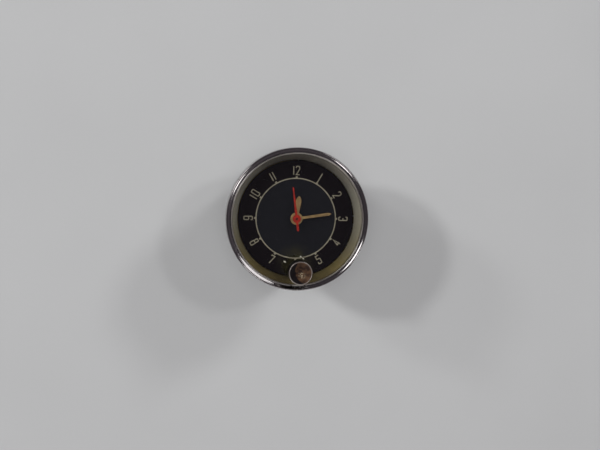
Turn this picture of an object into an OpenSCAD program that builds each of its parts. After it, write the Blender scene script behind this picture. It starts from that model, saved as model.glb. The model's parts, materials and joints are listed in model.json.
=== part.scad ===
// Dashboard clock for a round panel hole: chromed bezel, flat glass, black dial with three hands,
// push-to-set knob, electrically rewound lever movement, drawn can with two studs at the back.
// The dial faces +Z and twelve o'clock is +Y. Z = 0 is the plane in which the bezel meets the panel.

/* [Bezel and glass] */
// Outside diameter of the bezel
bezel_d = 60; // [59:0.5:64]
// Width of the bezel's front, from its outside to the opening
bezel_front_w = 2.7; // [1.9:0.1:3.2]
// Thickness of the bezel's metal
bezel_wall = 0.8; // [0.6:0.1:1]
// Radius of the rounded outer bead on the front of the bezel
bezel_bead_r = 0.65; // [0.5:0.05:0.75]
// Radius of the thin bead round the opening
bezel_lip_r = 0.4; // [0.2:0.05:0.5]
// Radial room of the glass, gasket and case rim inside the bezel
bezel_clear = 0.2; // [0.1:0.05:0.3]
// Thickness of the glass
glass_t = 2; // [1.5:0.1:3]
// Thickness of the gasket between glass and bezel
gasket_t = 0.6; // [0.4:0.1:1]

/* [Case] */
// Outside diameter of the can, which fits the panel hole
case_d = 52; // [51:0.5:53]
// Thickness of the can's sheet metal
case_wall = 0.7; // [0.5:0.1:0.9]
// Depth of the can from the panel to the outside of its back
case_depth = 30; // [28:0.5:36]
// Height of the widened rim that carries the glass
cup_h = 3.4; // [3:0.2:5]
// Rounding of the edge round the back
back_round = 2; // [1:0.25:3]

/* [Dial and reflector] */
// Thickness of the dial
dial_t = 0.6; // [0.4:0.1:1]
// Depth of the dial's face below the glass
dial_depth = 4.2; // [3.8:0.1:5]
// Radial gap between the can and the dial, and between the can and the plates
can_room = 0.8; // [0.6:0.1:1]
// Thickness of the reflector's conical wall
reflector_t = 0.4; // [0.3:0.05:0.5]
// Thickness of the reflector's rim under the glass
reflector_rim_t = 0.6; // [0.4:0.1:1]
// Diameter of the dial feet
dial_foot_d = 1.6; // [1.2:0.1:2]

/* [Hands] */
// Length of the hour hand from the centre to its tip
hour_len = 9.5; // [8:0.5:12]
// Greatest width of the hour hand
hour_w = 2.4; // [1.8:0.1:3]
// Length of the minute hand
minute_len = 14.9; // [13:0.1:16.5]
// Width of the minute hand
minute_w = 1.2; // [0.9:0.1:1.6]
// Diameter of the minute hand's hub
minute_hub_d = 5.2; // [4:0.1:6]
// Length of the second hand
second_len = 13.4; // [12:0.1:16]
// Length of the second hand's tail
second_tail = 5.3; // [4:0.1:7]
// Diameter of the second hand's hub
second_hub_d = 3.5; // [2.5:0.1:4.5]
// Thickness of the hands
hand_t = 0.3; // [0.2:0.05:0.4]
// Height between one hand and the next
hand_gap = 0.65; // [0.5:0.05:0.7]
// Angle of the hour hand, clockwise from twelve
hour_angle = 6.8; // [0:0.1:359.9]
// Angle of the minute hand, clockwise from twelve
minute_angle = 81.5; // [0:0.1:359.9]
// Angle of the second hand, clockwise from twelve
second_angle = 352.5; // [0:0.1:359.9]

/* [Setting knob] */
// Distance from the centre of the dial to the knob
knob_offset = 21; // [20.5:0.1:21.2]
// Diameter of the knob
knob_d = 9.6; // [8:0.2:11]
// Height of the knob
knob_h = 7; // [4:0.25:9]
// Diameter of the knob's stem
stem_d = 2.8; // [2.4:0.1:3]
// How far the knob is pushed to set the hands
push_travel = 2; // [1.8:0.1:2.4]
// Room left between knob and glass when it is pushed in
knob_room = 4; // [0.2:0.2:6]
// Length of the return spring at rest
stem_spring_len = 4.8; // [4.4:0.1:6]
// Diameter of the return spring's wire
stem_wire_d = 0.4; // [0.3:0.05:0.45]

/* [Movement] */
// Thickness of the movement's two plates
plate_t = 1.2; // [1:0.1:1.6]
// Room between the dial and the front plate for the wheels that drive the hands
motion_room = 4; // [3.8:0.1:5]
// Thickness of the brass wheels
wheel_t = 0.6; // [0.4:0.05:0.7]
// Height between one level of wheels and the next
level_gap = 1.4; // [1.3:0.1:1.8]
// Distance of the third arbor from the centre
third_offset = 9; // [8.8:0.1:9.4]
// Distance of the escape arbor from the centre
escape_offset = 8.8; // [8.7:0.1:9.2]
// Distance of the pallet lever's pivot from the escape arbor
lever_offset = 5; // [4.8:0.1:5.4]
// Distance of the balance from the pallet lever's pivot
balance_offset = 6.5; // [6.4:0.1:7]
// Diameter of the balance wheel
balance_d = 10; // [8:0.25:10.5]
// Diameter of the steel arbors
arbor_d = 1; // [0.8:0.1:1.1]
// Running clearance of every arbor, pipe and stem, on the radius
run_clear = 0.05; // [0.03:0.01:0.08]
// Diameter of the pillars between the plates
pillar_d = 3.2; // [2.6:0.1:4]
// Distance of the pillars from the centre
pillar_offset = 21; // [20:0.1:21.4]

/* [Rewinding magnet] */
// Diameter of the coil
coil_d = 8.4; // [7:0.1:8.8]
// Length of the coil's bobbin
coil_len = 16.8; // [14:0.2:17.4]
// Distance of the coil's axis from the centre
coil_offset = 15; // [14.6:0.1:15.4]
// Diameter of the iron core
core_d = 4; // [3:0.1:4.4]
// Gap between the core and the armature when the magnet is on
pole_gap = 0.25; // [0.2:0.05:0.4]
// Swing of the armature
armature_swing = 15; // [10:1:16]

/* [Back] */
// Diameter of the free ends of the mounting studs
stud_d = 4; // [3:0.5:4.5]
// Diameter of the studs' shanks, which hold the movement in the case
shank_d = 5; // [4.5:0.5:6]
// Distance between the two studs
stud_spacing = 30; // [28:0.5:33]
// How far the studs stand out of the back
stud_out = 15; // [12:0.5:20]
// Width across the flats of the nuts
nut_w = 8; // [7:0.5:10]
// Height of the nuts
nut_h = 4; // [2.7:0.1:5]
// Thickness of the lock washers
washer_t = 0.8; // [0.5:0.1:1.2]
// Distance of the lamp and of the terminal from the centre
lamp_offset = 14; // [13.4:0.1:15]
// Diameter of the lamp's metal cap
lamp_d = 8.8; // [8:0.1:9.2]
// Wall of the lamp holder
holder_wall = 0.6; // [0.5:0.1:1]
// Width of the terminal blade
blade_w = 6.3; // [4.8:0.1:6.3]
// Thickness of the terminal blade
blade_t = 0.8; // [0.5:0.1:1]

/* [Hidden] */
$fn = 64;
over = 0.5;

// Front of the clock, from the panel forwards
bezel_r = bezel_d / 2;
bezel_in_r = bezel_r - bezel_wall;
opening_r = bezel_r - bezel_front_w;
rim_r = bezel_in_r - bezel_clear;
flange_top = bezel_wall + case_wall;
cup_top = bezel_wall + cup_h;
glass_z = cup_top + reflector_rim_t;
gasket_z = glass_z + glass_t;
lip_z = gasket_z + gasket_t;
lip_t = 0.4;
bead_at = [bezel_r - bezel_bead_r, lip_z + lip_t / 2];
inner_bead_at = [opening_r + bezel_lip_r, lip_z + bezel_lip_r];

// Case, reflector and dial share the bore of the can
case_r = case_d / 2;
case_in_r = case_r - case_wall;
back_z = -case_depth;
back_in_z = back_z + case_wall;
dial_r = case_in_r - can_room;
dial_top = glass_z - dial_depth;
dial_z = dial_top - dial_t;
reflector_gap = 0.3;
cone_overlap = 0.1;
cone_top_r = opening_r - cone_overlap;
cone_low_r = dial_r + reflector_gap;
cone_low_z = dial_top + reflector_gap;
cone_slope = (cone_top_r - cone_low_r) / (glass_z - cone_low_z);
cone_wall = reflector_t * sqrt(1 + cone_slope * cone_slope);
function cone_out(z) = cone_low_r + cone_wall + (z - cone_low_z) * cone_slope;
corner_cut = max(case_wall, cone_out(flange_top) + reflector_gap - case_in_r);
corner_z = flange_top - corner_cut / cone_slope;
seat_in_r = case_r + corner_cut + bezel_clear;

// Movement levels, from the dial backwards
hour_wheel_drop = 2.1;
minute_wheel_drop = 3.4;
hour_wheel_z = dial_z - hour_wheel_drop;
minute_wheel_z = dial_z - minute_wheel_drop;
front_top = dial_z - motion_room;
front_z = front_top - plate_t;
centre_wheel_z = front_z - level_gap / 2 - wheel_t;
third_wheel_z = centre_wheel_z - level_gap - wheel_t;
fourth_wheel_z = third_wheel_z - level_gap - wheel_t;
escape_t = 0.5;
escape_z = fourth_wheel_z - level_gap - escape_t;
pin_gap = 0.15;
lever_t = 0.4;
lever_z = escape_z - 2 * pin_gap - lever_t;
balance_t = 0.8;
balance_drop = 0.9;
balance_z = lever_z - balance_drop - balance_t;
hairspring_h = 0.5;
hairspring_drop = 0.6;
hairspring_z = balance_z - hairspring_drop - hairspring_h;
hairspring_room = 0.5;
back_plate_top = hairspring_z - hairspring_room;
back_plate_z = back_plate_top - plate_t;
plate_r = dial_r;
leaf_reach = 0.4;

// Tooth counts: the hands turn 12 to 1, the seconds 60 to 1
cannon_n = 12;
minute_n = 36;
minute_leaf_n = 10;
hour_n = 40;
setting_n = 15;
knob_n = 12;
centre_n = 64;
third_leaf_n = 8;
third_n = 60;
second_leaf_n = 8;
fourth_n = 80;
escape_leaf_n = 8;
escape_n = 15;
ratchet_n = 24;

// Modules and places of the wheels follow from the distances between arbors
motion_m = 2 * knob_offset / (cannon_n + 2 * minute_n + 2 * setting_n + knob_n);
minute_offset = motion_m * (cannon_n + minute_n) / 2;
setting_offset = minute_offset + motion_m * (minute_n + setting_n) / 2;
hour_m = 2 * minute_offset / (hour_n + minute_leaf_n);
centre_m = 2 * third_offset / (centre_n + third_leaf_n);
third_m = 2 * third_offset / (third_n + second_leaf_n);
fourth_m = 2 * escape_offset / (fourth_n + escape_leaf_n);
function polar(r, a) = [r * cos(a), r * sin(a)];
centre_at = [0, 0];
minute_at = [0, -minute_offset];
setting_at = [0, -setting_offset];
knob_at = [0, -knob_offset];
third_at = [-third_offset, 0];
escape_dir = -20;
lever_dir = -75;
balance_dir = -60;
escape_at = polar(escape_offset, escape_dir);
lever_at = escape_at + polar(lever_offset, lever_dir);
balance_at = lever_at + polar(balance_offset, balance_dir);
pillar_dirs = [40, 345, 225, 188];
dial_foot_at = [17, -3];

// Angle at which a wheel of nb teeth meshes with one of na teeth turned by ta, dir degrees away
function mesh_turn(na, ta, nb, dir) = dir + 180 - 360 / nb * (0.5 - (dir - ta) * na / 360);
cannon_turn = 0;
minute_turn = mesh_turn(cannon_n, cannon_turn, minute_n, -90);
setting_turn = mesh_turn(minute_n, minute_turn, setting_n, -90);
knob_turn = mesh_turn(setting_n, setting_turn, knob_n, -90);
minute_leaf_turn = 0;
hour_turn = mesh_turn(minute_leaf_n, minute_leaf_turn, hour_n, 90);
centre_turn = 0;
third_leaf_turn = mesh_turn(centre_n, centre_turn, third_leaf_n, 180);
second_leaf_turn = 0;
third_turn = mesh_turn(second_leaf_n, second_leaf_turn, third_n, 180);
fourth_turn = 0;
escape_leaf_turn = mesh_turn(fourth_n, fourth_turn, escape_leaf_n, escape_dir);

// Four pipes, one inside the other, on the centre line
second_r = 0.45;
pipe_wall = 0.35;
centre_in_r = second_r + run_clear;
centre_out_r = centre_in_r + pipe_wall;
cannon_in_r = centre_out_r + run_clear;
cannon_out_r = cannon_in_r + pipe_wall;
hour_in_r = cannon_out_r + run_clear;
hour_pipe_wall = 0.45;
hour_out_r = hour_in_r + hour_pipe_wall;
hour_hand_rise = 0.9;
hour_hand_z = dial_top + hour_hand_rise;
minute_hand_z = hour_hand_z + hand_t + hand_gap;
second_hand_z = minute_hand_z + hand_t + hand_gap;
pipe_proud = 0.1;
arbor_r = arbor_d / 2;
pivot_r = arbor_r + run_clear;

// Setting stem, from the knob inwards
stem_r = stem_d / 2;
knob_z = gasket_z + push_travel + knob_room;
knob_bore_h = 3;
knob_pinion_t = 0.8;
knob_pinion_z = minute_wheel_z + push_travel;
knob_pinion_top = knob_pinion_z + knob_pinion_t;
collar_t = 0.5;
end_gap = 0.1;
collar_z = minute_wheel_z - end_gap - collar_t;
collar_rim = 0.9;
collar_r = stem_r + collar_rim;
stem_washer_t = 0.4;
washer_z = collar_z - stem_washer_t;
guide_room = 0.2;
guide_wall = 0.6;
guide_in_r = collar_r + guide_room;
guide_r = guide_in_r + guide_wall;
guide_floor = washer_z - stem_spring_len;
guide_z = guide_floor - guide_wall;
clip_t = 0.5;
clip_z = guide_z - end_gap - clip_t;
stem_tail = 0.8;
stem_z = clip_z - stem_tail;

// Balance, its screws and the regulator
staff_r = 0.6;
balance_pivot_r = 0.2;
pivot_screw_r = 1.2;
roller_r = 1.6;
hairspring_turns = 5;
hairspring_in_r = 1.1;
hairspring_pitch = 0.7;
hairspring_t = 0.15;
hairspring_out_r = hairspring_in_r + hairspring_turns * hairspring_pitch;
regulator_t = 0.6;
regulator_z = back_plate_z - end_gap - regulator_t;
regulator_reach = 7;
regulator_dir = 90;
regulator_swing = 25;
tail_r = 0.7;
tail_out = 1.5;
slot_room = 0.4;
curb_r = 0.15;
curb_gap = 0.35;

// Rewinding magnet
yoke_t = 1.1;
yoke_w = 6;
bobbin_flange_t = 0.8;
bobbin_wall = 0.6;
coil_r = coil_d / 2;
core_r = core_d / 2;
coil_gap = 0.2;
coil_axis_z = back_plate_top + yoke_t + coil_gap + coil_r;
coil_at = [0, coil_offset];
pole_proud = 0.8;
pole_x = -coil_len / 2 - pole_proud;
yoke_end_gap = 1.1;
yoke_end_x = coil_len / 2 + yoke_end_gap;
armature_w = 2.4;
armature_block = 2;
armature_rise = 2;
armature_z = back_plate_top + armature_rise;
armature_t = 1;
armature_hub_r = 2.2;
block_gap = 0.3;
block_z = back_plate_top + block_gap;
block_h = coil_axis_z + core_r + block_gap - block_z;
ratchet_r = 3;
pawl_reach = 6;
contact_reach = 9;
spring_reach = 4.5;
spring_post_out = 3.2;
spring_post_up = 1.6;
spring_post_at = [-stud_spacing / 2 - spring_post_out, spring_post_up];
contact_block_at = [-18.6, 7.6];

// Back of the case
stand_z = back_z - stud_out;
stud_r = stud_d / 2;
shank_r = shank_d / 2;
stud_at = [stud_spacing / 2, 0];
stud_clear = 0.1;
spacer_wall = 1.4;
spacer_r = shank_r + stud_clear + spacer_wall;
washer_rim = 2;
washer_r = shank_r + washer_rim;
nut_z = back_z - washer_t - nut_h;
shank_out = 1;
shank_z = nut_z - shank_out;
lamp_r = lamp_d / 2;
lamp_at = [0, -lamp_offset];
holder_r = lamp_r + run_clear + holder_wall;
holder_rim = 1.6;
holder_flange_r = holder_r + holder_rim;
holder_flange_t = 1;
holder_h = 11;
holder_in_h = 3;
lamp_out = 8;
lamp_in = 4;
lamp_floor = back_z - lamp_out;
lamp_cap_top = back_z + lamp_in;
lamp_step = 0.3;
lamp_glass_r = lamp_r - lamp_step;
lamp_glass_h = 1.8;
tail_contact_r = 1.5;
terminal_at = [0, lamp_offset];
insulator_rim = 2.6;
insulator_r = blade_w / 2 + insulator_rim;
insulator_t = 1.5;
spigot_wall = 1;
spigot_r = blade_w / 2 + spigot_wall;
blade_in = 3;
spigot_proud = 0.8;
lead_r = 0.35;
lead_room = 0.4;
lead_down = 1;
lead_reach = 4.2;
lead_in = 0.4;
lead_drop_at = [coil_len / 2 + lead_reach, coil_offset - coil_r + lead_in];

// Front: holes and the outlines of the hands
stem_room = 0.6;
stem_hole_r = stem_r + stem_room;
pipe_room = 0.35;
hour_hub_r = minute_hub_d / 2;
hour_neck = 0.8;
hour_shoulder = 2.6;
minute_point = 1.6;
second_tip_w = 0.35;
second_root_w = 0.7;
second_tail_w = 1;

// Knob and return spring
knob_r = knob_d / 2;
knob_bevel = 0.6;
knob_rim = 0.5;
knob_round = 0.2;
knob_dish = 0.9;
knob_crown = 0.2;
dimple_r = 1.3;
dimple_depth = 0.4;
stem_coil_r = (stem_r + guide_in_r) / 2;
stem_turns = 4;

// Wheels: round windows, and how far a pinion's leaves reach past the wheel that they mesh with
windows = 5;
hub_wall = 1.2;
rim_wall = 1.3;
window_wall = 0.7;
post_r = 0.8;
leaf_proud = 0.2;
cannon_leaf_z = minute_wheel_z - leaf_proud;
cannon_leaf_top = minute_wheel_z + wheel_t + leaf_proud;
hour_pipe_z = cannon_leaf_top + end_gap;
minute_leaf_top = hour_wheel_z + wheel_t + leaf_proud;

// Frame of the movement
screw_r = 0.8;
screw_head_r = 1.7;
screw_head_h = 0.9;
screw_grip = 2.4;
screw_slot = 0.4;
escape_arbor_r = 0.35;
lever_arbor_r = 0.4;
yoke_screw_r = 0.75;
yoke_screw_x = 5;
yoke_screw_at = [[-yoke_screw_x, coil_offset], [yoke_screw_x, coil_offset]];
hair_end_dir = 270;
hair_steps = 18;
hair_stud_r = 0.5;
hair_stud_at = balance_at
    + polar(hairspring_out_r + hairspring_t / 2 + run_clear + hair_stud_r, hair_end_dir);
spring_post_r = 0.7;
spring_post_proud = 0.6;
outer_turn_r = hairspring_out_r - hairspring_pitch * (hair_end_dir - regulator_dir) / 360;
curb_room = 0.3;
curb_window_r = curb_gap + curb_r + curb_room;

// Escapement
escape_r = 4;
escape_root_r = 3;
escape_lean = 0.8;
ratchet_lean = 0.85;
ratchet_tooth = 0.5;
lever_hub_r = 1;
pallet_reach = 2.4;
pallet_spread = 55;
pallet_pin_r = 0.2;
fork_w = 0.8;
fork_gap = 0.7;
fork_prong_w = 0.3;
fork_depth = 0.8;
fork_root = balance_offset - roller_r - fork_depth / 2;
fork_tip = fork_root + fork_depth;
pivot_screw_in = 0.3;
pivot_screw_out = 1.2;
pivot_screw_proud = 0.5;
pivot_depth = 0.8;
shoulder_gap = 0.1;
balance_r = balance_d / 2;
balance_rim_w = 1;
balance_hub_r = 1.3;
impulse_pin_r = 0.25;
regulator_hub_r = 2.6;
tail_at = balance_at + polar(regulator_reach, regulator_dir);
regulator_w = 1.6;

// Armature, its pawl, spring and contact
yoke_end_t = 1.4;
yoke_end_proud = 1;
winding_gap = 0.3;
arm_lap = 0.5;
spring_gap = 0.1;
arm_end = [pole_x - pole_gap - armature_block / 2, coil_offset - yoke_w / 2 + arm_lap];
arm_dir = atan2(arm_end.y - third_at.y, arm_end.x - third_at.x);
rest_dir = arm_dir + armature_swing;
pawl_post_r = 0.6;
pawl_t = 0.3;
pawl_gap = 0.35;
pawl_lean = 35;
drive_coil_r = 0.8;
drive_wire_r = 0.15;
drive_turns = 6;
contact_block_w = 3;
contact_block_l = 4;
contact_block_h = 4;
contact_t = 0.3;
contact_gap = 0.15;

// Hole in the terminal blade
blade_hole_r = 0.8;
blade_hole_up = 4;

// Tooth outlines: height in modules from the pitch circle, and half width in tooth pitches
wheel_tooth = [[-1.15, 0.24], [0, 0.20], [0.80, 0.07]];
leaf_tooth = [[-1.15, 0.17], [0, 0.17], [0.62, 0.08]];
function toothing(n, m, turn, tooth) = [
    for (k = [0 : n - 1], side = [-1, 1], i = [0 : 2])
        let (t = tooth[side < 0 ? i : 2 - i])
        polar(n * m / 2 + t[0] * m, turn + 360 / n * (k + side * t[1]))
];

// Quarter of a circle about c that starts at the angle from
function quarter(c, r, from) = [for (k = [0 : 6]) c + polar(r, from + 15 * k)];

// Shapes that repeat

module rod(r, z0, z1, at = centre_at) {
    translate([at.x, at.y, z0]) cylinder(r = r, h = z1 - z0);
}

module tube(r_out, r_in, z0, z1, at = centre_at) {
    difference() {
        rod(r_out, z0, z1, at);
        rod(r_in, z0 - over, z1 + over, at);
    }
}

// Flat link from one point to another
module bar(p, q, w, z0, z1) {
    d = q - p;
    translate([p.x, p.y, z0])
        rotate(atan2(d.y, d.x))
            translate([0, -w / 2, 0])
                cube([norm(d), w, z1 - z0]);
}

// Straight length of wire between two points in space
module wire(p, q, r) {
    d = q - p;
    translate(p) rotate([0, acos(d.z / norm(d)), atan2(d.y, d.x)]) cylinder(r = r, h = norm(d));
}

// Slot along an arc about a point, with round ends
module arc_slot(at, reach, r, dir, swing, z0, z1) {
    translate([at.x, at.y, z0])
        rotate(dir - swing)
            rotate_extrude(angle = 2 * swing)
                translate([reach - r, 0])
                    square([2 * r, z1 - z0]);
    for (side = [-1, 1]) rod(r, z0, z1, at + polar(reach, dir + side * swing));
}

module toothed(n, m, turn, tooth, z0, z1, at = centre_at) {
    translate([at.x, at.y, z0]) linear_extrude(z1 - z0) polygon(toothing(n, m, turn, tooth));
}

// Brass wheel with round windows between its rim and its hub
module train_wheel(n, m, turn, z, bore_r, at = centre_at) {
    hub_r = bore_r + hub_wall;
    in_r = n * m / 2 - rim_wall;
    mid_r = (hub_r + in_r) / 2;
    hole_r = min((in_r - hub_r) / 2, mid_r * sin(180 / windows) - window_wall / 2);
    difference() {
        toothed(n, m, turn, wheel_tooth, z, z + wheel_t, at);
        rod(bore_r, z - over, z + wheel_t + over, at);
        for (k = [1 : windows])
            rod(hole_r, z - over, z + wheel_t + over, at + polar(mid_r, 360 / windows * k));
    }
}

// Wheel with saw teeth: n teeth from the root radius up to the tip radius
module saw_wheel(n, root_r, tip_r, lean, t, z, bore_r, at) {
    outline = [
        for (k = [0 : n - 1], i = [0 : 1])
            polar(i == 0 ? root_r : tip_r, 360 / n * (k + i * lean))
    ];
    difference() {
        translate([at.x, at.y, z]) linear_extrude(t) polygon(outline);
        rod(bore_r, z - over, z + t + over, at);
    }
}

// Helical spring along +Z, six sides to the wire and eight rings to a turn
module helix(r, wire_r, turns, h) {
    sides = 6;
    rings = 8 * turns;
    points = [
        for (i = [0 : rings], k = [0 : sides - 1])
            let (a = 45 * i, b = 360 / sides * k, q = r + wire_r * cos(b))
            [q * cos(a), q * sin(a), wire_r + (h - 2 * wire_r) * i / rings + wire_r * sin(b)]
    ];
    skin = [
        for (i = [0 : rings - 1], k = [0 : sides - 1], half = [0, 1])
            let (a = sides * i + k, b = sides * i + (k + 1) % sides)
            half == 0 ? [a, b + sides, b] : [a, a + sides, b + sides]
    ];
    ends = [
        for (k = [1 : sides - 2], end = [0, 1])
            let (o = end * sides * rings)
            end == 0 ? [o, o + k, o + k + 1] : [o, o + k + 1, o + k]
    ];
    polyhedron(points, concat(skin, ends));
}

// Screw with a slotted head, head at z, shank towards dir (1 is up, -1 is down)
module slot_screw(at, z, dir, r, len) {
    translate([at.x, at.y, z]) mirror([0, 0, dir < 0 ? 1 : 0]) difference() {
        union() {
            cylinder(r = r, h = len);
            translate([0, 0, -screw_head_h]) cylinder(r = screw_head_r, h = screw_head_h);
        }
        translate([-screw_head_r - over, -screw_slot / 2, -screw_head_h - over])
            cube([2 * (screw_head_r + over), screw_slot, over + screw_slot]);
    }
}

module both_studs() {
    for (side = [-1, 1]) translate([side * stud_at.x, stud_at.y, 0]) children();
}

// Front

module bezel() {
    color("silver") rotate_extrude() {
        translate([seat_in_r, 0]) square([bezel_r - seat_in_r, bezel_wall]);
        translate([bezel_in_r, 0]) square([bezel_wall, bead_at.y]);
        translate([opening_r, lip_z]) square([bead_at.x - opening_r, lip_t]);
        translate(inner_bead_at) circle(r = bezel_lip_r);
        intersection() {
            translate(bead_at) circle(r = bezel_bead_r);
            translate([0, lip_z]) square([bezel_r + over, 2 * bezel_bead_r]);
        }
    }
}

module glass() {
    color("lightblue", 0.3) difference() {
        rod(rim_r, glass_z, gasket_z);
        rod(stem_hole_r, glass_z - over, gasket_z + over, knob_at);
    }
}

module glass_gasket() {
    color("dimgray") tube(rim_r, opening_r + bezel_clear, gasket_z, lip_z);
}

module reflector_ring() {
    color("darkkhaki") rotate_extrude() polygon([
        [cone_top_r, glass_z], [rim_r, glass_z], [rim_r, cup_top], [cone_out(cup_top), cup_top],
        [cone_out(cone_low_z), cone_low_z], [cone_low_r, cone_low_z]
    ]);
}

module dial() {
    color("black") difference() {
        rod(dial_r, dial_z, dial_top);
        rod(hour_out_r + pipe_room, dial_z - over, dial_top + over);
        rod(stem_hole_r, dial_z - over, dial_top + over, knob_at);
    }
}

module dial_feet() {
    color("peru") for (side = [-1, 1])
        rod(dial_foot_d / 2, front_z, dial_z, [side * dial_foot_at.x, dial_foot_at.y]);
}

// Hands

module hand(z, angle, bore_r) {
    difference() {
        translate([0, 0, z]) rotate(-angle) linear_extrude(hand_t) children();
        rod(bore_r, z - over, z + hand_t + over);
    }
}

module hour_hand() {
    color("burlywood") hand(hour_hand_z, hour_angle, hour_out_r) {
        circle(r = hour_hub_r);
        polygon([
            [-hour_w * hour_neck / 2, 0], [hour_w * hour_neck / 2, 0],
            [hour_w / 2, hour_len - hour_shoulder], [0, hour_len], [-hour_w / 2, hour_len - hour_shoulder]
        ]);
    }
}

module minute_hand() {
    color("burlywood") hand(minute_hand_z, minute_angle, cannon_out_r) {
        circle(r = minute_hub_d / 2);
        polygon([
            [-minute_w / 2, 0], [minute_w / 2, 0],
            [minute_w / 2, minute_len - minute_point], [0, minute_len],
            [-minute_w / 2, minute_len - minute_point]
        ]);
    }
}

module second_hand() {
    color("red") hand(second_hand_z, second_angle, second_r) {
        circle(r = second_hub_d / 2);
        polygon([
            [-second_tail_w / 2, -second_tail], [second_tail_w / 2, -second_tail],
            [second_root_w / 2, 0], [second_tip_w / 2, second_len],
            [-second_tip_w / 2, second_len], [-second_root_w / 2, 0]
        ]);
    }
}

// Setting knob and its stem

module setting_knob() {
    color("goldenrod") difference() {
        translate([knob_at.x, knob_at.y, knob_z]) rotate_extrude() polygon([
            [0, 0], [knob_r - knob_bevel, 0], [knob_r, knob_bevel],
            [knob_r, knob_h - knob_round], [knob_r - knob_round, knob_h], [knob_r - knob_rim, knob_h],
            [knob_r - 2 * knob_rim, knob_h - knob_dish + knob_crown], [dimple_r, knob_h - knob_dish],
            [dimple_r / 2, knob_h - knob_dish - dimple_depth], [0, knob_h - knob_dish - dimple_depth]
        ]);
        rod(stem_r, knob_z - over, knob_z + knob_bore_h, knob_at);
    }
}

module setting_stem() {
    color("silver") {
        rod(stem_r, stem_z, knob_z + knob_bore_h, knob_at);
        rod(collar_r, collar_z, collar_z + collar_t, knob_at);
    }
}

module setting_pinion() {
    color("gold") difference() {
        toothed(knob_n, motion_m, knob_turn, leaf_tooth, knob_pinion_z, knob_pinion_top, knob_at);
        rod(stem_r, knob_pinion_z - over, knob_pinion_top + over, knob_at);
    }
}

module stem_guide() {
    color("gold") difference() {
        rod(guide_r, guide_z, front_top, knob_at);
        rod(guide_in_r, guide_floor, front_top + over, knob_at);
        rod(stem_r + run_clear, guide_z - over, front_top, knob_at);
    }
}

module stem_spring() {
    color("silver") translate([knob_at.x, knob_at.y, guide_floor])
        helix(stem_coil_r, stem_wire_d / 2, stem_turns, stem_spring_len);
}

module stem_washer() {
    color("silver") tube(collar_r, stem_r + run_clear, washer_z, collar_z, knob_at);
}

module stem_clip() {
    color("dimgray") tube(collar_r, stem_r, clip_z, clip_z + clip_t, knob_at);
}

// Wheels behind the dial that drive the hands

module cannon_pinion() {
    color("gold") difference() {
        union() {
            rod(cannon_out_r, front_top + end_gap, minute_hand_z + hand_t + pipe_proud);
            toothed(cannon_n, motion_m, cannon_turn, leaf_tooth, cannon_leaf_z, cannon_leaf_top);
        }
        rod(cannon_in_r, front_top, second_hand_z);
    }
}

module minute_wheel() {
    color("gold") difference() {
        union() {
            train_wheel(minute_n, motion_m, minute_turn, minute_wheel_z, post_r, minute_at);
            toothed(
                minute_leaf_n, hour_m, minute_leaf_turn, leaf_tooth,
                minute_wheel_z + wheel_t, minute_leaf_top, minute_at
            );
        }
        rod(post_r + run_clear, minute_wheel_z - over, minute_leaf_top + over, minute_at);
    }
}

module hour_wheel() {
    color("gold") difference() {
        union() {
            train_wheel(hour_n, hour_m, hour_turn, hour_wheel_z, hour_in_r);
            rod(hour_out_r, hour_pipe_z, hour_hand_z + hand_t + pipe_proud);
        }
        rod(hour_in_r, hour_pipe_z - over, second_hand_z);
    }
}

module setting_wheel() {
    color("gold") difference() {
        toothed(
            setting_n, motion_m, setting_turn, wheel_tooth,
            minute_wheel_z, minute_wheel_z + wheel_t, setting_at
        );
        rod(post_r + run_clear, minute_wheel_z - over, minute_wheel_z + wheel_t + over, setting_at);
    }
}

// Frame of the movement

module plate_holes(z0, z1) {
    rod(pivot_r, z0, z1, third_at);
    rod(escape_arbor_r + run_clear, z0, z1, escape_at);
    rod(lever_arbor_r + run_clear, z0, z1, lever_at);
    rod(pivot_screw_r, z0, z1, balance_at);
    for (dir = pillar_dirs) rod(screw_r, z0, z1, polar(pillar_offset, dir));
}

module front_plate() {
    color("gold") difference() {
        rod(plate_r, front_z, front_top);
        plate_holes(front_z - over, front_top + over);
        rod(centre_out_r + run_clear, front_z - over, front_top + over);
        rod(guide_r, front_z - over, front_top + over, knob_at);
        for (at = [minute_at, setting_at]) rod(post_r, front_z - over, front_top + over, at);
        for (side = [-1, 1])
            rod(dial_foot_d / 2, front_z - over, front_top + over, [side * dial_foot_at.x, dial_foot_at.y]);
    }
}

module back_plate() {
    z0 = back_plate_z - over;
    z1 = back_plate_top + over;
    color("gold") difference() {
        rod(plate_r, back_plate_z, back_plate_top);
        plate_holes(z0, z1);
        rod(second_r + run_clear, z0, z1);
        both_studs() rod(shank_r, z0, z1);
        for (at = yoke_screw_at) rod(yoke_screw_r, z0, z1, at);
        rod(hair_stud_r, z0, z1, hair_stud_at);
        rod(spring_post_r, z0, z1, spring_post_at);
        rod(lead_r + lead_room, z0, z1, lead_drop_at);
        arc_slot(balance_at, outer_turn_r, curb_window_r, regulator_dir, regulator_swing, z0, z1);
    }
}

module pillars() {
    color("gold") for (dir = pillar_dirs) difference() {
        rod(pillar_d / 2, back_plate_top, front_z, polar(pillar_offset, dir));
        rod(screw_r, back_plate_top - over, back_plate_top + screw_grip, polar(pillar_offset, dir));
        rod(screw_r, front_z - screw_grip, front_z + over, polar(pillar_offset, dir));
    }
}

module pillar_screws() {
    len = plate_t + screw_grip;
    color("silver") for (dir = pillar_dirs) {
        slot_screw(polar(pillar_offset, dir), front_top, -1, screw_r, len);
        slot_screw(polar(pillar_offset, dir), back_plate_z, 1, screw_r, len);
    }
}

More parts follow.
